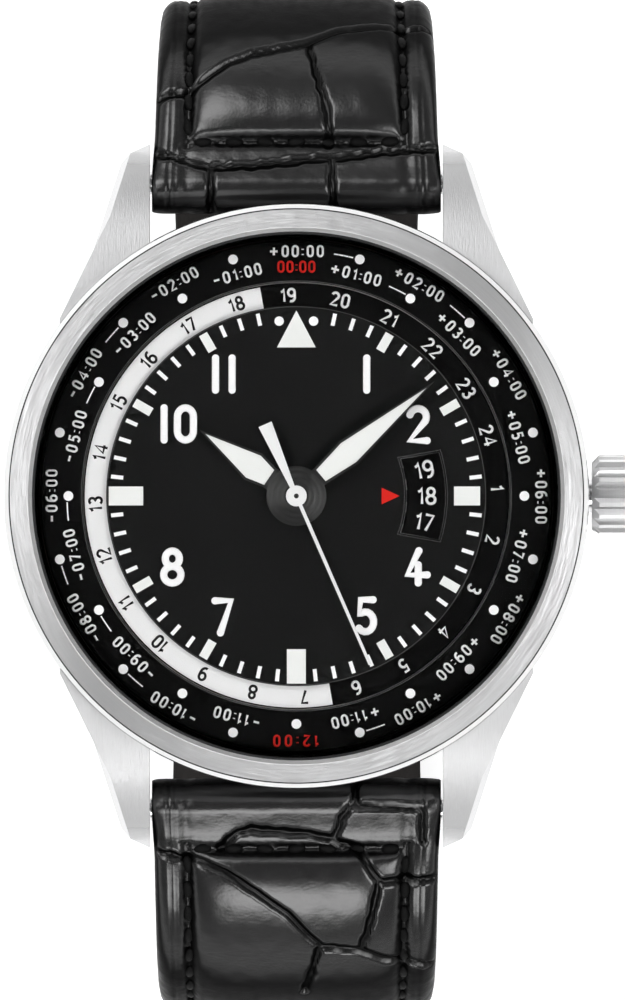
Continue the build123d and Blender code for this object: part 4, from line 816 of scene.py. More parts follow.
def combine(bm: BMesh, tool: BMesh, operation: str) -> BMesh:
    """Cut a closed shape out of a closed mesh, or join the two.

    Args:
        bm: the mesh; it is freed.
        tool: the closed shape; it is freed.
        operation: DIFFERENCE or UNION.

    Returns:
        The mesh that is left.
    """
    holders = []
    for source in (bm, tool):
        mesh = bpy.data.meshes.new("part")
        source.to_mesh(mesh)
        source.free()
        holder = bpy.data.objects.new("part", mesh)
        bpy.context.collection.objects.link(holder)
        holders.append(holder)
    change = holders[0].modifiers.new("combine", "BOOLEAN")
    change.operation, change.object, change.solver = operation, holders[1], "EXACT"
    cut = holders[0].evaluated_get(bpy.context.evaluated_depsgraph_get())
    made = bpy.data.meshes.new_from_object(cut)
    result = bmesh.new()
    result.from_mesh(made)
    for mesh in (made, holders[0].data, holders[1].data):
        bpy.data.meshes.remove(mesh)
    return result


def rod_along_x(bm: BMesh, radius: float, width: float, place: Vector, edge: float = 0.0) -> None:
    """Add a rod that lies across the strap.

    Args:
        bm: the mesh to add to.
        radius: its radius.
        width: its whole width.
        place: its middle.
        edge: rounding of its two ends.
    """
    lying = Matrix.Translation(place) @ Matrix.Rotation(math.radians(90.0), 4, "Y")
    made = disc(bm, radius, width, lying, 64)
    if edge:
        rims = {e for v in made for e in v.link_edges if abs(e.verts[0].co.x - e.verts[1].co.x) < 0.01}
        bmesh.ops.bevel(bm, geom=list(rims), offset=edge, offset_type="OFFSET", segments=4, profile=0.5,
                        affect="EDGES", material=-1, clamp_overlap=True)


def sector(bm: BMesh, radii: Pair, spans: Pair, middle: float, height: float, cuts: int) -> None:
    """Add a flat sector of a ring.

    Args:
        bm: the mesh to add to.
        radii: inner and outer radius.
        spans: half the angle covered at the inner and at the outer radius, in degrees.
        middle: clock angle of its middle, in degrees.
        height: height of its face.
        cuts: number of cells along it.
    """
    for vert in bmesh.ops.create_grid(bm, x_segments=cuts, y_segments=1, size=1.0)["verts"]:
        share = (vert.co.y + 1.0) / 2.0
        radius = radii[0] + (radii[1] - radii[0]) * share
        span = spans[0] + (spans[1] - spans[0]) * share
        vert.co = polar(radius, middle + vert.co.x * span, height)


def ring_line(name: str, radii: Pair, ground: float) -> None:
    """Paint a fine grey line round the dial, a painted highlight of an edge.

    Args:
        name: the piece's name.
        radii: its inner and outer radius.
        ground: height of the face that it lies on.
    """
    bm = bmesh.new()
    for radius in radii:
        bmesh.ops.create_circle(bm, segments=240, radius=radius)
    bmesh.ops.bridge_loops(bm, edges=bm.edges)
    bmesh.ops.translate(bm, verts=bm.verts, vec=(0.0, 0.0, ground + LINE_H))
    thicken(bm, LINE_H)
    finish_piece(bm, name, "edge_highlight_grey", "case", smooth=False)


@dataclass
class Studio:
    """Camera, soft light, pale floor and white surroundings."""

    distance: float = 2.0
    centre: Pair = (1.24 * MM, -0.31 * MM)
    focus_z: float = 10.0 * MM
    tall: float = 76.8 * MM
    sensor: float = 36.0
    clip: Pair = (0.05, 20.0)
    key_place: Triple = (-0.28, 0.22, 0.42)
    key_size: float = 0.3
    key_energy: float = 0.3
    floor_half: float = 1.5
    floor_gap: float = 0.0002
    floor_tone: float = 0.93
    floor_glow: float = 0.45
    ambient: float = 0.20
    overhead: float = 0.08
    horizon: float = 0.85
    low_band: Pair = (0.30, 0.10)
    zenith_band: Pair = (0.86, 0.96)
    mirror_band: Pair = (0.06, 0.12)
    boxes: tuple[tuple[Triple, float, float, float], ...] = (
        ((-0.52, 0.10, 0.85), 9.0, 21.0, 3.0),
        ((0.54, -0.14, 0.83), 9.0, 23.0, 4.2),
        ((-0.30, 0.66, 0.69), 7.0, 19.0, 3.6),
        ((-0.02, -0.70, 0.71), 7.0, 17.0, 5.0),
    )

    def build(self) -> None:
        """Set up the camera, lamp, world and floor."""
        scene = bpy.context.scene
        scene.view_settings.view_transform = "Standard"
        lens = bpy.data.cameras.new("camera")
        lens.sensor_width = self.sensor
        lens.lens = self.sensor * self.distance / self.tall
        lens.clip_start, lens.clip_end = self.clip
        scene.camera = self.place("camera", lens, (*self.centre, self.focus_z + self.distance))
        light = bpy.data.lights.new("key", "AREA")
        light.size = self.key_size
        light.energy = self.key_energy
        key = self.place("key", light, self.key_place)
        key.rotation_euler = (-key.location).to_track_quat("-Z", "Y").to_euler()
        self.surroundings()
        self.floor()

    @staticmethod
    def place(name: str, data: bpy.types.ID, spot: Triple) -> bpy.types.Object:
        """Put an object into the scene.

        Args:
            name: the object's name.
            data: its camera, light or mesh.
            spot: its place, in metres.

        Returns:
            The object.
        """
        made = bpy.data.objects.new(name, data)
        made.location = spot
        bpy.context.collection.objects.link(made)
        return made

    def surroundings(self) -> None:
        """White for the camera and in low reflections, else soft boxes round a dark zenith."""
        world = bpy.data.worlds.new("studio")
        world.use_nodes = True
        bpy.context.scene.world = world
        w = Wiring(world.node_tree)
        rays = w.add("LightPath").outputs
        view = w.add("TexCoord").outputs["Generated"]
        rise = w.part(view, 2)
        mirrored = w.math("MAXIMUM", rays["Is Glossy Ray"], rays["Is Transmission Ray"])
        mirrored = w.math("MULTIPLY", mirrored, w.ramp(rise, *self.mirror_band, 1.0, 0.0))
        seen = w.math("MAXIMUM", rays["Is Camera Ray"], mirrored)
        low = w.ramp(rise, *self.low_band, self.ambient, self.horizon)
        tone = w.math("MULTIPLY", low, w.ramp(rise, *self.zenith_band, 1.0, self.overhead / self.ambient))
        for axis, inner, outer, strength in self.boxes:
            aim = tuple(Vector(axis).normalized())
            facing = w.add("VectorMath", {"operation": "DOT_PRODUCT"}, i0=view, i1=aim).outputs["Value"]
            edges = [math.cos(math.radians(angle)) for angle in (outer, inner)]
            tone = w.math("ADD", tone, w.ramp(facing, *edges, 0.0, strength))
        w.feed(world.node_tree.nodes["Background"], Color=(1.0, 1.0, 1.0),
               Strength=w.add("Mix", i0=seen, i2=tone, i3=1.0).outputs[0])

    def floor(self) -> None:
        """Plain pale floor below the strap."""
        bm = bmesh.new()
        bmesh.ops.create_grid(bm, x_segments=4, y_segments=4, size=self.floor_half)
        bmesh.ops.translate(bm, verts=bm.verts, vec=(0.0, 0.0, CAD_BOX[0][2] - self.floor_gap))
        mesh = bpy.data.meshes.new("floor")
        bm.to_mesh(mesh)
        bm.free()
        w, shader, place = start_material("floor_pale")
        tone = w.add("soft_blotches", Place=place, Scale=3.0, Low=self.floor_tone - 0.01,
                     High=self.floor_tone)
        rays = w.add("LightPath").outputs
        seen = w.math("MAXIMUM", rays["Is Camera Ray"], rays["Is Glossy Ray"])
        seen = w.math("MAXIMUM", seen, rays["Is Transmission Ray"])
        w.feed(shader, Base_Color=tone.outputs[0], Roughness=0.9, Specular_IOR_Level=0.1,
               Emission_Color=(1.0, 1.0, 1.0), Emission_Strength=w.math("MULTIPLY", seen, self.floor_glow))
        mesh.materials.append(w.material)
        self.place("floor", mesh, (0.0, 0.0, 0.0))


@dataclass
class Route:
    """Line of a strap half in the (outward, up) plane, from its spring bar to its end."""

    lead: float
    roll_r: float
    drop: float
    flat: float
    start: Pair = (24.15, 3.0)
    lead_turn: float = 5.0
    wrist: Pair = (30.0, 40.0)
    heel: Pair = (14.0, 50.0)

    def runs(self) -> list[Pair]:
        """Work out the runs of the line; wrist and heel are bends of (radius, turn).

        Returns:
            Runs as (length, turn in degrees), in order.
        """
        bends = ((self.roll_r, 90.0 - self.lead_turn), self.wrist, self.heel)
        roll, wrist, heel = [(math.radians(turn) * radius, turn) for radius, turn in bends]
        return [(self.lead, 0.0), roll, (self.drop, 0.0), wrist, heel, (self.flat, 0.0)]

    def length(self) -> float:
        """Whole length."""
        return sum(run for run, _ in self.runs())

    def at(self, along: float) -> tuple[Vector, Vector]:
        """Point and outer normal at a length along the line.

        Args:
            along: length from the spring bar.

        Returns:
            The point and the unit normal, both as (outward, up).
        """
        here, heading, left = Vector(self.start), math.radians(self.lead_turn), along
        for run, turn in self.runs():
            step = min(run, left) if (run, turn) != self.runs()[-1] else left
            bend = math.radians(turn) * (step / run)
            if bend:
                chord = 2.0 * (step / bend) * math.sin(bend / 2.0)
                middle = heading + bend / 2.0
                here = here + Vector((math.cos(middle), -math.sin(middle))) * chord
            else:
                here = here + Vector((math.cos(heading), -math.sin(heading))) * step
            heading += bend
            left -= step
            if left <= 0.0:
                break
        return here, Vector((math.sin(heading), math.cos(heading)))


@dataclass(frozen=True)
class Relief:
    """Relief of the skin. Lengths are in millimetres and places are lengths from the spring bar."""

    pad_share: float = 0.2  # of the strap's thickness
    pad_power: float = 5.0
    pad_start: float = 0.8
    pad_stop: Pair = (8.0, 3.0)  # from the far end
    sink_share: float = 0.9
    sink_places: Pair = (-1.2, 2.5)
    channel_w: float = 0.44
    channel_depth: float = 0.40
    faint_share: float = 0.15
    groove_w: Pair = (0.08, 0.40)
    groove_depth: float = 0.36
    groove_edge: float = 0.3
    rims: tuple[Triple, ...] = ((1.25, 0.12, 0.5), (1.7, 0.10, 0.3))  # inset, spread and share of each
    rim_start: float = -3.0
    rim_depth: float = 0.14
    corner_w: float = 1.35
    corner_depths: Triple = (0.2, 0.9, 0.9)
    corner_places: tuple[Pair, Pair] = ((-1.0, 3.0), (10.0, 19.0))
    corner_most: float = 0.42  # of the strap's thickness
    scale_swell: float = 0.13
    wrinkle: float = 0.02
    ragged: float = 0.13


@dataclass
class StrapHalf:
    """One half of the leather strap: outer skin, lining and stitching."""

    name: str
    body: str
    side: int
    route: Route
    cracks: tuple[tuple[Pair, ...], ...]
    row_start: float
    width: float = 22.0
    end_width: float = 18.0
    swell: float = 0.26
    tuck: float = 1.0
    thick: float = 4.5
    end_thick: float = 2.8
    thin_share: float = 0.62
    lining: float = 0.9
    lining_start: float = 4.0
    lining_inset: float = 0.24
    seam_in: float = 2.55
    cross_seam: float = 2.9
    cross_stitches: int = 7
    seam_stop: float = 6.0
    pitch: float = 1.9
    stitch: Triple = (0.72, 0.38, 0.28)
    crest: float = 0.0
    crest_at: float = 19.0
    crest_spread: float = 5.0
    bar_r: float = 1.05
    roll_r: float = 2.45
    roll_cuts: int = 26
    tail: float = 3.6
    tail_rise: float = 0.5
    tail_cuts: int = 9
    step: float = 0.16
    far_step: float = 0.42
    fine_reach: float = 17.0
    across: int = 144
    under: int = 44
    side_cuts: int = 3
    row_pitch: float = 6.6
    row_change: float = 3.2
    row_slope: float = 0.35
    row_bow: float = 1.4
    row_reach: float = 13.0
    bow_wave: float = 0.33
    wander: float = 0.16
    divider_span: float = 15.0
    divider_shift: float = 0.22
    divider_lean: float = 0.5
    crack_reach: float = 0.7
    relief: Relief = Relief()

    def __post_init__(self) -> None:
        """Work out the length and turn the cracks' outward places into lengths."""
        self.total = self.route.length()
        lines = [[Vector((x, self.along_of(out))) for x, out in line] for line in self.cracks]
        self.joints = [pair for line in lines for pair in zip(line, line[1:])]
        self.wide_rows = self.belly_rows()

    def along_of(self, out: float) -> float:
        """Find the length along the strap at which its outer face lies at an outward place.

        Args:
            out: distance from the dial's axis, before the strap turns down.

        Returns:
            The length from the spring bar, under 0 on the roll.
        """
        centre, first = self.route.start[0], math.radians(self.route.lead_turn)
        if out < centre + self.roll_r * math.sin(first):
            return self.roll_r * (math.asin((out - centre) / self.roll_r) - first)
        low, high = 0.0, self.route.lead + self.route.roll_r * math.radians(82.0)
        for _ in range(30):
            middle = (low + high) / 2.0
            point, normal = self.route.at(middle)
            if (point + normal * self.thick_at(middle) / 2.0).x < out:
                low = middle
            else:
                high = middle
        return (low + high) / 2.0

    def thick_at(self, along: float) -> float:
        """Thickness at a length."""
        share = min(1.0, max(0.0, along / self.total) / self.thin_share)
        return self.thick + (self.end_thick - self.thick) * share

    def width_at(self, along: float) -> float:
        """Width at a length, fuller at the rolled end and narrower where the skin is tucked under."""
        change = self.swell * (1.0 - smoothstep(0.5, 4.0, along)) - self.tuck * smoothstep(-5.0, -7.5, along)
        return self.width + change + (self.end_width - self.width) * max(0.0, along / self.total)

    def outer_at(self, along: float) -> float:
        """Height of the outer face's flat crest line over the strap's middle line."""
        flat = max(self.thick_at(along) / 2.0, self.roll_r - 0.12 * along)
        return flat + self.crest * bell(along - self.crest_at, self.crest_spread)

    def belly_rows(self) -> list[tuple[float, float, float, list[Pair]]]:
        """Lay out the belly scales beyond the listed cracks.

        Returns:
            Rows as (start, slope, bow, dividers), the dividers as (place across, lean).
        """
        noise.seed_set(7)
        rows, along, number = [], self.row_start, 0
        while along < self.total + 4.0:
            wobble = ripple(number * 1.7, self.side * 3.1, 0.5)
            slope = self.row_slope * ripple(number * 2.3, self.side * 5.7, 4.5)
            count = 2 + number % 2
            dividers = []
            for place in range(count - 1):
                spread = (place + 1) / count - 0.5
                lean = ripple(number * 3.1, place * 2.2, 9.0 + self.side)
                dividers.append(((spread + wobble * self.divider_shift) * self.divider_span,
                                 lean * self.divider_lean))
            rows.append((along, slope, wobble * self.row_bow, dividers))
            along += self.row_pitch + wobble * self.row_change
            number += 1
        return rows

    def near_cracks(self, along: float) -> list[tuple[Vector, Vector]]:
        """Crack runs that pass within reach of a length."""
        reach = self.crack_reach
        return [(a, b) for a, b in self.joints if min(a.y, b.y) - reach < along < max(a.y, b.y) + reach]

    def groove_at(self, x: float, along: float, runs: list[tuple[Vector, Vector]]) -> float:
        """Work out how deep the cracks between scales are at a place on the outer face.

        Args:
            x: place across.
            along: length from the spring bar.
            runs: the crack runs within reach.

        Returns:
            Depth from 0 to 1.
        """
        wander = self.wander * ripple(x * 1.3, along * 1.3, 2.0)
        spot = Vector((x + wander, along + wander))
        gaps = [9.0]
        for first, second in runs:
            run = second - first
            share = clamp((spot - first).dot(run) / run.length_squared)
            gaps.append((spot - first - run * share).length)
        if along > self.row_start - 3.0:
            edges = [start + slope * x + bow * math.sin(x * self.bow_wave + number)
                     for number, (start, slope, bow, _) in enumerate(self.wide_rows)]
            for (start, _, _, dividers), edge, far in zip(self.wide_rows, edges, [*edges[1:], -math.inf]):
                if abs(along - start) <= self.row_reach:
                    gaps.append(abs(along - edge))
                    if edge <= along <= far:
                        gaps += [abs(x - place - lean * (along - start)) for place, lean in dividers]
        return 1.0 - smoothstep(*self.relief.groove_w, min(gaps))

    def top_at(self, x: float, along: float, runs: list[tuple[Vector, Vector]] | None = None) -> Pair:
        """Work out the relief of the outer face over the flat crest line.

        Args:
            x: place across.
            along: length from the spring bar.
            runs: the crack runs within reach, looked up when left out.

        Returns:
            The height, and from 0 to 1 how deep in a groove it lies, which also sets the leather's painted
            shade.
        """
        cut = self.relief
        half = self.width_at(along) / 2.0
        seam = half - self.seam_in
        full = self.thick_at(along) * cut.pad_share
        pad = (1.0 - min(1.0, abs(x) / seam) ** cut.pad_power) * full
        opening = 1.0 - math.exp(-max(0.0, along - self.cross_seam - 0.1) / cut.pad_start)
        closing = 1.0 - smoothstep(self.total - cut.pad_stop[0], self.total - cut.pad_stop[1], along)
        height = pad * opening * closing - full * cut.sink_share * smoothstep(*cut.sink_places, along)
        channel = bell(abs(x) - seam, cut.channel_w)
        if along < self.cross_seam - 0.5:
            channel *= cut.faint_share
        if abs(x) < seam:
            channel = max(channel, bell(along - self.cross_seam, cut.channel_w))
        rim = 0.0
        if along > cut.rim_start:
            rim = sum(share * bell(half - inset - abs(x), spread) for inset, spread, share in cut.rims)
        groove = self.groove_at(x, along, self.near_cracks(along) if runs is None else runs)
        if abs(x) >= half - 0.3:
            groove *= cut.groove_edge
        steps = (1.0, *(smoothstep(*places, along) for places in cut.corner_places))
        corner = min(sum(depth * step for depth, step in zip(cut.corner_depths, steps)),
                     cut.corner_most * self.thick_at(along))
        height -= cut.channel_depth * channel + cut.groove_depth * groove + cut.rim_depth * rim
        height -= corner * rounding(abs(x), half - cut.corner_w, cut.corner_w)
        height += cut.scale_swell * ripple(x * 0.16, along * 0.19, 7.0 + self.side) * (1.0 - groove)
        height += cut.wrinkle * ripple(x * 0.9, along * 0.9, 1.0)
        height += cut.ragged * ripple(x * 3.1, along * 3.1, 5.0) * channel
        return height, min(1.0, groove + 0.8 * channel + rim)

    def stations(self) -> list[tuple[float, Vector, Vector, Vector, float]]:
        """Lay out the sections of the outer skin, from its tucked end round the roll to the far end.

        Returns:
            Sections as (along, outer point, inner point, normal, share of the relief).
        """
        centre = Vector(self.route.start)
        rows = []
        for number in range(self.tail_cuts):
            back = self.tail * (1.0 - number / self.tail_cuts)
            drop = self.roll_r - self.tail_rise * (back / self.tail)
            rows.append((-self.roll_r * math.pi - back, centre + Vector((back, -drop)),
                         centre + Vector((back, -self.bar_r)), Vector((0.0, -1.0)), 0.0))
        first = math.radians(self.route.lead_turn)
        for number in range(self.roll_cuts):
            turn = math.pi * (1.0 - number / self.roll_cuts)
            normal = Vector((math.sin(first - turn), math.cos(first - turn)))
            rows.append((-self.roll_r * turn, centre + normal * self.roll_r, centre + normal * self.bar_r,
                         normal, smoothstep(math.pi, math.pi * 0.45, turn)))
        fine = int(self.fine_reach / self.step)
        coarse = int((self.total - self.fine_reach) / self.far_step)
        places = [self.fine_reach * n / fine for n in range(fine)]
        places += [self.fine_reach + (self.total - self.fine_reach) * n / coarse for n in range(coarse + 1)]
        for along in places:
            point, normal = self.route.at(along)
            half = self.thick_at(along) / 2.0
            floor = self.bar_r + (self.lining - half - self.bar_r) * smoothstep(0.9, 3.8, along)
            rows.append((along, point + normal * self.outer_at(along), point + normal * floor, normal, 1.0))
        return rows

    def solid(self, x: float, point: Vector) -> Vector:
        """Point in the watch's frame from a place across and an (outward, up) point."""
        return Vector((x, self.side * point.x, point.y))

    def build_outer(self) -> None:
        """Build the outer skin, a closed loft with its scales and seams in relief."""
        bm = bmesh.new()
        layers = [bm.verts.layers.float.new(name) for name in ("groove", "along", "place")]
        groove_and_shade_layer, along_layer, place_layer = layers
        count = self.across + self.under + self.side_cuts * 2
        ring = bmesh.ops.create_circle(bm, cap_ends=False, segments=count, radius=1.0)["verts"]
        ring.sort(key=lambda v: math.atan2(v.co.y, v.co.x))
        edges = list(bm.edges)
        for number, (along, outer, inner, normal, relief) in enumerate(self.stations()):
            if number:
                made = bmesh.ops.extrude_edge_only(bm, edges=edges)["geom"]
                edges = [e for e in made if isinstance(e, bmesh.types.BMEdge)]
                fresh = {v for v in made if isinstance(v, bmesh.types.BMVert)}
                pairs = [(e.other_vert(v), v) for v in fresh for e in v.link_edges]
                order = {other.index: v for other, v in pairs if other not in fresh}
                ring = [order[v.index] for v in ring]
            half = self.width_at(along) / 2.0
            runs = self.near_cracks(along)
            ends = [self.top_at(sign * half, along, runs)[0] for sign in (1, -1)]
            for index, vert in enumerate(ring):
                vert.index = index
                vert[along_layer] = along
                if index <= self.across:
                    x = half * (2.0 * index / self.across - 1.0)
                    height, groove = self.top_at(x, along, runs)
                    vert.co = self.solid(x, outer + normal * height * relief)
                    # the groove share goes to the leather as its painted shade
                    vert[groove_and_shade_layer], vert[place_layer] = groove * relief, x
                else:
                    rest = index - self.across
                    back = clamp((rest - self.side_cuts) / self.under)
                    x = half * (1.0 - 2.0 * back)
                    top = outer + normal * ends[0 if back < 0.5 else 1] * relief
                    drop = min(1.0, rest / self.side_cuts, (count - self.across - rest) / self.side_cuts)
                    vert.co = self.solid(x, top.lerp(inner, drop))
                    vert[place_layer] = x + UNDERSIDE
        bm.verts.ensure_lookup_table()
        close(bm)
        lay_map(bm, lambda vert: (vert[along_layer], vert[place_layer]))
        self.finish(bm, True)

    def finish(self, bm: BMesh, outer: bool) -> None:
        """Shape the end of a loft and turn it into its piece.

        Args:
            bm: the loft.
            outer: it is the outer skin, not the lining.
        """
        bm = self.shape_end(bm, outer)
        bmesh.ops.recalc_face_normals(bm, faces=bm.faces)
        layer, finish, slot = (("_outer", "leather_glazed", "leather_black") if outer
                               else ("_lining", "leather_lining", "lining_leather"))
        finish_piece(bm, self.name + ("_leather" if outer else "_lining_leather"), finish, self.body,
                     replaces=(self.name + layer,))

    def shape_end(self, bm: BMesh, outer: bool) -> BMesh:
        """Shape the end away from the case; a plain half keeps it square.

        Args:
            bm: the loft to shape.
            outer: it is the outer skin, not the lining.

        Returns:
            The shaped mesh.
        """
        return bm

    def build_lining(self) -> None:
        """Build the lining under the skin, a thin closed loft."""
        bm = bmesh.new()
        bmesh.ops.create_cube(bm, size=1.0)
        for axis, cuts in ((1, int(self.total / 0.8)), (0, 16)):
            for cut in range(1, cuts):
                place = Vector((0.0, 0.0, 0.0))
                place[axis] = cut / cuts - 0.5
                bmesh.ops.bisect_plane(bm, geom=[*bm.verts, *bm.edges, *bm.faces], plane_co=place,
                                       plane_no=[float(n == axis) for n in range(3)])
        flats = {}
        for vert in bm.verts:
            along = self.lining_start + (self.total - self.lining_start) * (vert.co.y + 0.5)
            point, normal = self.route.at(along)
            half = self.thick_at(along) / 2.0
            x = vert.co.x * (self.width_at(along) - self.lining_inset)
            hidden = vert.co.z > 0
            height = self.lining - 0.01 if hidden else 0.03 * ripple(x * 0.7, along * 0.7, 3.0)
            flats[vert] = (along, x + UNDERSIDE * hidden)
            vert.co = self.solid(x, point + normal * (height - half))
        lay_map(bm, lambda vert: flats[vert])
        self.finish(bm, False)

    def stitch_spots(self) -> list[tuple[float, float, bool]]:
        """Place the stitches of both long seams and of the seam across.

        Returns:
            Places as (across, along, lies across).
        """
        spots = []
        for sign in (1, -1):
            for number in range(int((self.total - self.seam_stop - self.cross_seam) / self.pitch)):
                along = self.cross_seam + (number + 0.6) * self.pitch
                spots.append((sign * (self.width_at(along) / 2.0 - self.seam_in), along, False))
        half = self.width_at(self.cross_seam) / 2.0 - self.seam_in
        for number in range(self.cross_stitches):
            spots.append((half * ((number + 0.5) * 2.0 / self.cross_stitches - 1.0), self.cross_seam, True))
        return spots

    def build_stitches(self) -> None:
        """Build the thread: one short rounded stitch at each spot, sunk into its channel."""
        bm = bmesh.new()
        across = Vector((1.0, 0.0, 0.0))
        for x, along, lies_across in self.stitch_spots():
            point, normal = self.route.at(along)
            spot = self.solid(x, point + normal * (self.outer_at(along) + self.top_at(x, along)[0] + 0.08))
            up = Vector((0.0, self.side * normal.x, normal.y))
            run = across if lies_across else up.cross(across)
            turn = Matrix((run, up.cross(run), up)).transposed().to_4x4()
            slant = Matrix.Rotation(0.16 * math.sin(along * 7.0 + x), 4, "Z")
            shape = Matrix.Translation(spot) @ turn @ slant @ Matrix.Diagonal((*self.stitch, 1.0))
            bmesh.ops.create_uvsphere(bm, u_segments=10, v_segments=6, radius=1.0, matrix=shape)
        finish_piece(bm, self.name + "_thread", "thread_black", self.body)

    def build(self) -> None:
        """Build the whole half."""
        self.build_outer()
        self.build_lining()
        self.build_stitches()


@dataclass
class BuckleHalf(StrapHalf):
    """The short half, wrapped round the buckle's bar and slotted for the tongue."""

    wrap_r: float = 2.0
    wrap_edge: float = 0.4
    eye_r: float = 0.93
    bar_gap: float = 1.2
    slot_w: float = 3.2
    over: float = 2.0  # by which a cutting rod is wider than the strap

    def shape_end(self, bm: BMesh, outer: bool) -> BMesh:
        """Wrap the end round the bar and cut the tongue's slot.

        Args:
            bm: the loft to shape.
            outer: it is the outer skin, not the lining.

        Returns:
            The shaped mesh.
        """
        bar = self.solid(0.0, self.route.at(self.total)[0] - Vector((self.bar_gap, 0.0)))
        wrap = bmesh.new()
        wide = self.end_width + self.over
        rod_along_x(wrap, self.wrap_r, self.end_width if outer else wide, bar,
                    self.wrap_edge if outer else 0.0)

        def place(vert: bmesh.types.BMVert) -> Pair:
            """Place round the wrap and across it."""
            spot = vert.co - bar
            return self.total + self.wrap_r * (math.atan2(spot.z, spot.y) % math.tau), spot.x

        lay_map(wrap, place)
        bm = combine(bm, wrap, "UNION" if outer else "DIFFERENCE")
        cutter = bmesh.new()
        long = (self.wrap_r + self.bar_gap) * 2.0
        block(cutter, Matrix.Translation(bar), (self.slot_w, long, self.wrap_r * 3.0))
        bm = combine(bm, cutter, "DIFFERENCE")
        if outer:
            eye = bmesh.new()
            rod_along_x(eye, self.eye_r, wide, bar)
            bm = combine(bm, eye, "DIFFERENCE")
        return bm


@dataclass
class HoledHalf(StrapHalf):
    """The long half, with a pointed tip and a row of holes."""

    bevel: float = 8.1
    hole_r: float = 1.1
    hole_first: float = 12.0
    hole_pitch: float = 6.5
    holes: int = 7

    def shape_end(self, bm: BMesh, outer: bool) -> BMesh:
        """Cut both corners of the free end off on a slant and cut the holes.

        Args:
            bm: the loft to shape.
            outer: it is the outer skin, not the lining.

        Returns:
            The shaped mesh.
        """
        end = self.route.at(self.total)[0]
        tip = self.side * end.x
        for sign in (1, -1):
            corner = Vector((sign * self.end_width / 2.0, tip - self.bevel, 0.0))
            away = Vector((sign * self.bevel, self.bevel, 0.0)).normalized()
            low = [v for v in bm.verts if v.co.z < end.y + self.thick and v.co.y > corner.y - 2.0]
            geometry = {part for v in low for part in (v, *v.link_edges, *v.link_faces)}
            bmesh.ops.bisect_plane(bm, geom=list(geometry), plane_co=corner, plane_no=away, clear_outer=True)
            close(bm)
        cutter = bmesh.new()
        for number in range(self.holes):
            spot = Vector((0.0, tip - self.hole_first - number * self.hole_pitch, end.y))
            disc(cutter, self.hole_r, self.thick * 2.0, Matrix.Translation(spot), 40)
        return combine(bm, cutter, "DIFFERENCE")


@dataclass
class Keeper:
    """Leather loop round the strap, creased along both edges."""

    name: str
    body: str
    wall: float = 1.2
    corner: float = 0.9
    shoulder: float = 0.35
    shoulder_drop: float = 0.3
    skin: float = 0.02  # depth of the flat face in the node's box
    crease_in: float = 0.85
    crease_w: float = 0.17
    crack_w: float = 0.035
    cut_depth: float = 0.14
    straight: int = 26
    bend: int = 7
    band: int = 34
    hidden: int = 6
    lay_steps: Pair = (0.05, 0.015)
    crack_scale: Pair = (0.42, 0.30)

    def path(self, half_x: float, half_z: float) -> list[tuple[Vector, Vector]]:
        """Lay out the loop.

        Args:
            half_x: half its width.
            half_z: half its height.

        Returns:
            Points with their outer normals, clockwise in the XZ plane.
        """
        spots = []
        for side in range(4):
            along, out = (half_x, half_z) if side % 2 == 0 else (half_z, half_x)
            turn = Matrix.Rotation(math.radians(-90.0 * side), 2)
            flat = along - self.corner
            for number in range(self.straight):
                x = flat * (2.0 * number / self.straight - 1.0)
                spots.append((turn @ Vector((x, out)), turn @ Vector((0.0, 1.0))))
            for number in range(self.bend):
                angle = math.radians(90.0) * number / self.bend
                normal = Vector((math.sin(angle), math.cos(angle)))
                spots.append((turn @ (Vector((flat, out - self.corner)) + normal * self.corner),
                              turn @ normal))
        return spots

    def profile(self, half: float) -> list[Pair]:
        """Lay out the section of the band.

        Args:
            half: half the band's width.

        Returns:
            A closed line of (place along Y, depth under the face).
        """
        places = [half * (2.0 * number / self.band - 1.0) for number in range(self.band + 1)]
        drops = [rounding(abs(place), half - self.shoulder, self.shoulder) for place in places]
        outer = [(place, self.skin + self.shoulder_drop * drop) for place, drop in zip(places, drops)]
        return outer + [(half * (1.0 - 2.0 * n / self.hidden), self.wall) for n in range(self.hidden + 1)]

    def build(self) -> None:
        """Build the loop in its CAD node's box."""
        low, high = (Vector(corner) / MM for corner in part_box(self.name))
        middle, size = (low + high) / 2.0, high - low
        half = size.y / 2.0
        around_scale, across_scale = self.crack_scale
        spots, section = self.path(size.x / 2.0, size.z / 2.0), self.profile(half)
        bm = bmesh.new()
        lay = bm.loops.layers.uv.new("lay")
        groove_and_shade_layer = bm.verts.layers.float.new("groove")
        grid = bmesh.ops.create_grid(bm, x_segments=len(spots), y_segments=len(section), size=1.0)["verts"]
        for vert in grid:
            around = round((vert.co.x + 1.0) / 2.0 * len(spots))
            across = round((vert.co.y + 1.0) / 2.0 * len(section))
            for loop in vert.link_loops:
                loop[lay].uv = (around * self.lay_steps[0], across * self.lay_steps[1])
            spot, normal = spots[around % len(spots)]
            place, depth = section[across % len(section)]
            if depth < self.wall:
                lines = ripple(spot.x * around_scale, place * across_scale, spot.y * around_scale + low.y)
                crack = 0.8 * bell(lines, self.crack_w) * (abs(place) < half - 1.0)
                # creases and cracks sink the band and get the leather's painted shade
                vert[groove_and_shade_layer] = max(bell(abs(place) - (half - self.crease_in), self.crease_w), crack)
                depth += self.cut_depth * vert[groove_and_shade_layer]
            flat = spot - normal * depth
            vert.co = middle + Vector((flat.x, place, flat.y))
        bmesh.ops.remove_doubles(bm, verts=bm.verts, dist=0.0005)
        bmesh.ops.recalc_face_normals(bm, faces=bm.faces)
        finish_piece(bm, self.name + "_leather", "leather_glazed", self.body,
                     replaces=(self.name,))


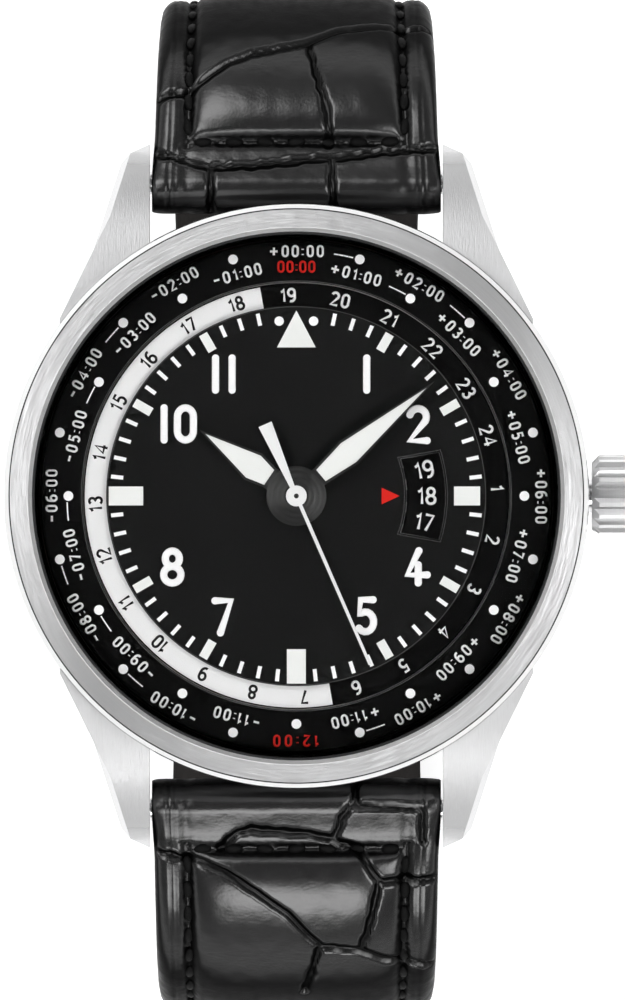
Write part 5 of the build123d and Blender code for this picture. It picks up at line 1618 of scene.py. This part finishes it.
@dataclass
class DialFace:
    """Printing on the dial: minute track, numerals, dots and the date pointer."""

    ground: float = 8.65
    stroke: float = 0.57
    tall: float = 3.03
    gap: float = 0.45
    wide_gap: float = 0.70
    track_r: float = 13.83
    tick: Pair = (0.30, 0.94)
    dot_r: float = 0.36
    dot_place: Pair = (1.32, 13.42)
    # radii of the grey line that paints the highlight of the dial's edge
    edge: Pair = (14.50, 14.55)
    pointer_x: float = 7.0
    pointer_r: float = 0.74
    pointer_stretch: float = 1.24
    window: Pair = (8.29, 11.61)
    window_spans: Pair = (20.9, 17.8)
    rim_rise: float = 0.014
    rim: Triple = (0.18, 0.11, 0.015)  # its width, slope and thickness
    scale: float = 13.02  # the photograph's pixels per millimetre

    def build(self) -> None:
        """Print the dial."""
        self.track()
        self.numerals()
        self.pointer()
        self.window_edge()

    def track(self) -> None:
        """Minute ticks, the two dots beside the triangle, and the grey line of painted highlight at the
        dial's edge.
        """
        bm = bmesh.new()
        middle = self.ground + PRINT_H / 2
        for minute in range(60):
            if minute % 5 and minute not in (1, 59):
                block(bm, outward(self.track_r, minute * 6.0, middle), (*self.tick, PRINT_H))
        for side in (-1, 1):
            spot = Matrix.Translation((side * self.dot_place[0], self.dot_place[1], middle))
            disc(bm, self.dot_r, PRINT_H, spot, 28)
        finish_piece(bm, "dial_minute_track", "print_white", "case", smooth=False)
        # painted highlight: a grey line at the dial's edge
        ring_line("dial_edge_highlight", self.edge, self.ground)

    def numerals(self) -> None:
        """The eight large numerals, placed in the photograph's pixels from the axis."""
        bm = bmesh.new()
        places = {"11": (-72.5, 121.8), "1": (70.3, 121.8), "10": (-117.5, 72.0), "2": (121.9, 71.3),
                  "8": (-124.0, -71.0), "7": (-73.3, -120.7), "5": (69.2, -119.7), "4": (120.8, -70.8)}
        for word, (right, up) in places.items():
            spot = Matrix.Translation((right / self.scale, up / self.scale, self.ground + PRINT_H / 2))
            gap = self.wide_gap if word == "11" else self.gap
            Pen.write(bm, word, self.tall, self.stroke, spot, gap, rounded=True)
        finish_piece(bm, "dial_numerals", "print_white", "case")

    def pointer(self) -> None:
        """The red pointer beside the date window."""
        bm = bmesh.new()
        spot = Matrix.Translation((self.pointer_x, 0.0, self.ground + PRINT_H / 2))
        disc(bm, self.pointer_r, PRINT_H, spot @ Matrix.Rotation(math.radians(-90.0), 4, "Z"), 3)
        bmesh.ops.scale(bm, vec=(self.pointer_stretch, 1.0, 1.0), verts=bm.verts,
                        space=Matrix.Translation((-self.pointer_x, 0.0, 0.0)))
        finish_piece(bm, "dial_date_pointer", "print_red", "case", smooth=False)

    def window_edge(self) -> None:
        """Polished sloped rim round the date window."""
        bm = bmesh.new()
        wide, slope, thick = self.rim
        sector(bm, self.window, self.window_spans, 90.0, self.ground + self.rim_rise, 30)
        inside = list(bm.faces)
        bmesh.ops.inset_region(bm, faces=inside, thickness=wide, depth=-slope, use_even_offset=True,
                               use_boundary=True)
        bmesh.ops.delete(bm, geom=inside, context="FACES")
        thicken(bm, thick)
        finish_piece(bm, "dial_window_rim", "steel_polished", "case", smooth=False)


@dataclass
class ZoneRing:
    """Printing on the outer zone ring: offsets from zero time, dots and leader lines."""

    ground: float = 8.65
    inner_row: float = 17.6
    outer_row: float = 18.8
    inner_dots: float = 17.5
    dot_r: float = 0.375
    tall: float = 0.96
    stroke: float = 0.18
    gap: float = 0.20
    tight: float = 0.6
    loose: float = 1.6
    dash: Pair = (0.36, 0.10)
    dashes: int = 4
    dash_start: float = 9.4
    dash_pitch: float = 1.15
    led: tuple[int, ...] = (0, 1, 2, 10, -8, -7, -5, -4, -9, -10)
    # radii of the grey line that paints a highlight on the ring's inner edge
    edge: Pair = (16.46, 16.53)

    def spot(self, number: float, radius: float | None = None) -> Matrix:
        """Find the place of a zone, or of a share of one.

        Args:
            number: hours from zero time.
            radius: distance from the axis, the zone's own row when left out.

        Returns:
            The place, its Y pointing outward.
        """
        if radius is None:
            radius = self.inner_row if number % 2 else self.outer_row
        return outward(radius, number * HOUR_TURN, self.ground + PRINT_H / 2)

    def build(self) -> None:
        """Print the ring."""
        white, red, lines = bmesh.new(), bmesh.new(), bmesh.new()
        for number in range(-11, 12):
            text = f"{'-' if number < 0 else '+'}{abs(number):02d}:00"
            Pen.write(white, text, self.tall, self.stroke, self.spot(number), self.gap)
        Pen.write(red, "00:00", self.tall, self.stroke, self.spot(0, self.inner_row), self.gap * self.tight)
        Pen.write(red, "12:00", self.tall, self.stroke, self.spot(12), self.gap * self.loose)
        for number in range(1, 24):
            radius = self.outer_row if number % 2 else self.inner_dots
            disc(white, self.dot_r, PRINT_H, self.spot(number, radius), 24)
        for number in self.led:
            row = self.inner_row if number % 2 else self.outer_row
            for place in range(self.dashes):
                share = (self.dash_start + place * self.dash_pitch) / HOUR_TURN
                block(lines, self.spot(number + share, row), (*self.dash, PRINT_H))
        finish_piece(white, "zone_ring_print", "print_white", "case", smooth=False)
        finish_piece(red, "zone_ring_red_print", "print_red", "case", smooth=False)
        finish_piece(lines, "zone_ring_leaders", "print_white", "case", smooth=False)
        # painted highlight: a grey line at the zone ring's inner edge
        ring_line("zone_ring_edge_highlight", self.edge, self.ground)


@dataclass
class HourRing:
    """Printing on the turning 24-hour ring: its white half and its numbers."""

    ground: float = 8.2
    tall: float = 1.16
    stroke: float = 0.20
    gap: float = 0.12
    rise: float = 0.028
    row: float = 15.42
    top_hour: int = 19
    turn: float = -2.4
    day: Pair = (14.2, 16.25)
    day_middle: float = 260.1
    day_rise: float = 0.012

    def build(self) -> None:
        """Print the ring; its hours from 7 to 18 lie on the white half."""
        half = bmesh.new()
        sector(half, self.day, (90.0, 90.0), self.day_middle, self.ground + self.day_rise, 91)
        thicken(half, LINE_H)
        finish_piece(half, "hour_ring_day_half", "enamel_white", "ring_24h", smooth=False)
        dark, pale = bmesh.new(), bmesh.new()
        for hour in range(1, 25):
            spot = outward(self.row, (hour - self.top_hour) * HOUR_TURN + self.turn, self.ground + self.rise)
            Pen.write(dark if 7 <= hour <= 18 else pale, str(hour), self.tall, self.stroke, spot, self.gap)
        finish_piece(dark, "hour_ring_dark_numbers", "print_black", "ring_24h", smooth=False)
        finish_piece(pale, "hour_ring_pale_numbers", "print_white", "ring_24h", smooth=False)


@dataclass
class SecondsPin:
    """Dark end of the seconds arbor in the hub of the seconds hand."""

    radius: float = 0.19
    dome: float = 0.05
    top: float = 10.2

    def build(self) -> None:
        """Build the pin's domed end."""
        bm = bmesh.new()
        size = Matrix.Diagonal((self.radius, self.radius, self.dome, 1.0))
        bmesh.ops.create_uvsphere(bm, u_segments=20, v_segments=10, radius=1.0,
                                  matrix=Matrix.Translation((0.0, 0.0, self.top)) @ size)
        finish_piece(bm, "seconds_arbor_tip", "hand_black", "seconds")


@dataclass
class DateDisc:
    """Numbers on the turning date disc."""

    ground: float = 8.15
    tall: float = 1.43
    stroke: float = 0.22
    gap: float = 0.14
    row: float = 10.0
    shown: int = 18

    def build(self) -> None:
        """Print the days."""
        bm = bmesh.new()
        for day in range(1, 32):
            turn = Matrix.Rotation(math.radians((day - self.shown) * 360.0 / 31), 4, "Z")
            place = turn @ Matrix.Translation((self.row, 0.0, self.ground + PRINT_H / 2))
            Pen.write(bm, str(day), self.tall, self.stroke, place, self.gap)
        finish_piece(bm, "date_disc_numbers", "print_white", "date_ring", smooth=False)


@dataclass
class Metalwork:
    """Finishes of the CAD's own nodes, listed by finish."""

    nodes: dict[str, str] = field(default_factory=lambda: {
        "steel_case": "case_middle",
        "steel_bezel": "bezel",
        "sapphire_clear": "crystal",
        "gasket_rubber": "crystal_gasket case_back_gasket",
        "flange_black": "flange_ring",
        "steel_round_brushed": "case_back",
        "black_nylon": "movement_holder_ring",
        "steel_polished": "crown_tube winding_stem spring_bars rotor_bearing mainspring barrel_arbor "
                          "winding_pinion cannon_pinion escape_wheel pallet_fork buckle_bar "
                          "buckle_tongue",
        "steel_crown": "crown",
        "zone_black": "city_ring",
        "dial_black": "dial",
        "lume_white": "hour_markers hour_hand_lume minute_hand_lume",
        "ring_black": "hour_ring_24 date_ring",
        "hand_frame": "hour_hand minute_hand",
        "enamel_white": "seconds_hand",
        "nickel_grained": "main_plate barrel_bridge train_bridge balance_cock casing_clamps",
        "nickel_round": "calendar_plate ratchet_wheel crown_wheel",
        "ruby_clear": "jewels",
        "steel_blued": "bridge_screws hairspring",
        "heavy_alloy": "rotor",
        "brass_gilt": "barrel_drum great_wheel third_wheel sweep_seconds_wheel centre_wheel minute_wheel "
                      "hour_wheel idler_24h date_driving_wheel balance_wheel",
        "steel_satin_x": "buckle_frame",
    })

    def build(self) -> None:
        """Dress each node in its finish."""
        for finish, names in self.nodes.items():
            for name in names.split():
                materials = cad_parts[name].data.materials
                materials.clear()
                materials.append(FINISH.made[finish])
                LOG.info("%s: %s", name, finish)


TOP_CRACKS = (
    ((-10.7, 31.2), (-8.2, 31.6), (-5.3, 33.4), (-3.5, 34.0), (0.6, 34.8), (3.2, 35.8), (7.6, 36.4),
     (10.6, 36.7)),
    ((1.0, 34.9), (1.36, 33.1), (2.04, 31.0), (2.42, 29.6), (2.5, 27.3)),
    ((-10.8, 26.5), (-9.7, 26.25), (-6.7, 25.3), (-2.9, 25.5), (0.9, 26.0), (3.2, 26.1), (6.2, 26.55),
     (10.6, 27.0)),
    ((-6.6, 25.3), (-6.6, 21.9)),
    ((2.65, 26.0), (2.9, 22.0)),
)
LOW_CRACKS = (
    ((4.55, 21.9), (4.55, 23.5), (3.63, 24.6), (2.95, 26.4)),
    ((4.55, 23.8), (6.97, 23.9), (9.63, 24.2), (9.75, 26.7)),
    ((-5.9, 27.2), (-4.7, 26.1), (-3.5, 25.7), (-1.4, 25.9), (0.9, 26.1), (2.95, 26.6), (4.7, 27.3),
     (5.9, 29.2), (6.4, 29.8)),
    ((6.4, 29.8), (9.25, 29.9), (10.8, 29.8)),
    ((6.3, 29.9), (6.07, 31.3), (5.46, 33.6), (5.08, 35.0)),
    ((-10.6, 27.6), (-9.0, 28.0), (-7.45, 28.2), (-5.2, 29.2), (-2.9, 30.7), (-0.6, 32.3), (0.9, 33.9),
     (1.97, 34.8), (3.2, 34.9), (5.0, 35.1), (7.0, 36.0), (10.5, 37.0)),
    ((1.74, 35.0), (1.36, 36.2), (0.6, 38.2)),
)


def main() -> None:
    """Build every sub-assembly in order and report each piece."""
    logging.basicConfig(level=logging.INFO, format="%(message)s")
    build_effects()
    FINISH.build()
    Studio().build()
    upper = Route(lead=1.0, roll_r=12.1, drop=3.0, flat=15.0)
    lower = Route(lead=2.0, roll_r=13.5, drop=18.0, flat=46.0)
    BuckleHalf("strap_12", "strap_12", 1, upper, TOP_CRACKS, 21.0, crest=1.0).build()
    HoledHalf("strap_6", "strap_6", -1, lower, LOW_CRACKS, 26.0, seam_stop=9.0).build()
    Keeper("fixed_keeper", "strap_12").build()
    Keeper("free_keeper", "free_keeper").build()
    DialFace().build()
    ZoneRing().build()
    HourRing().build()
    DateDisc().build()
    SecondsPin().build()
    Metalwork().build()


if __name__ == "__main__":
    main()
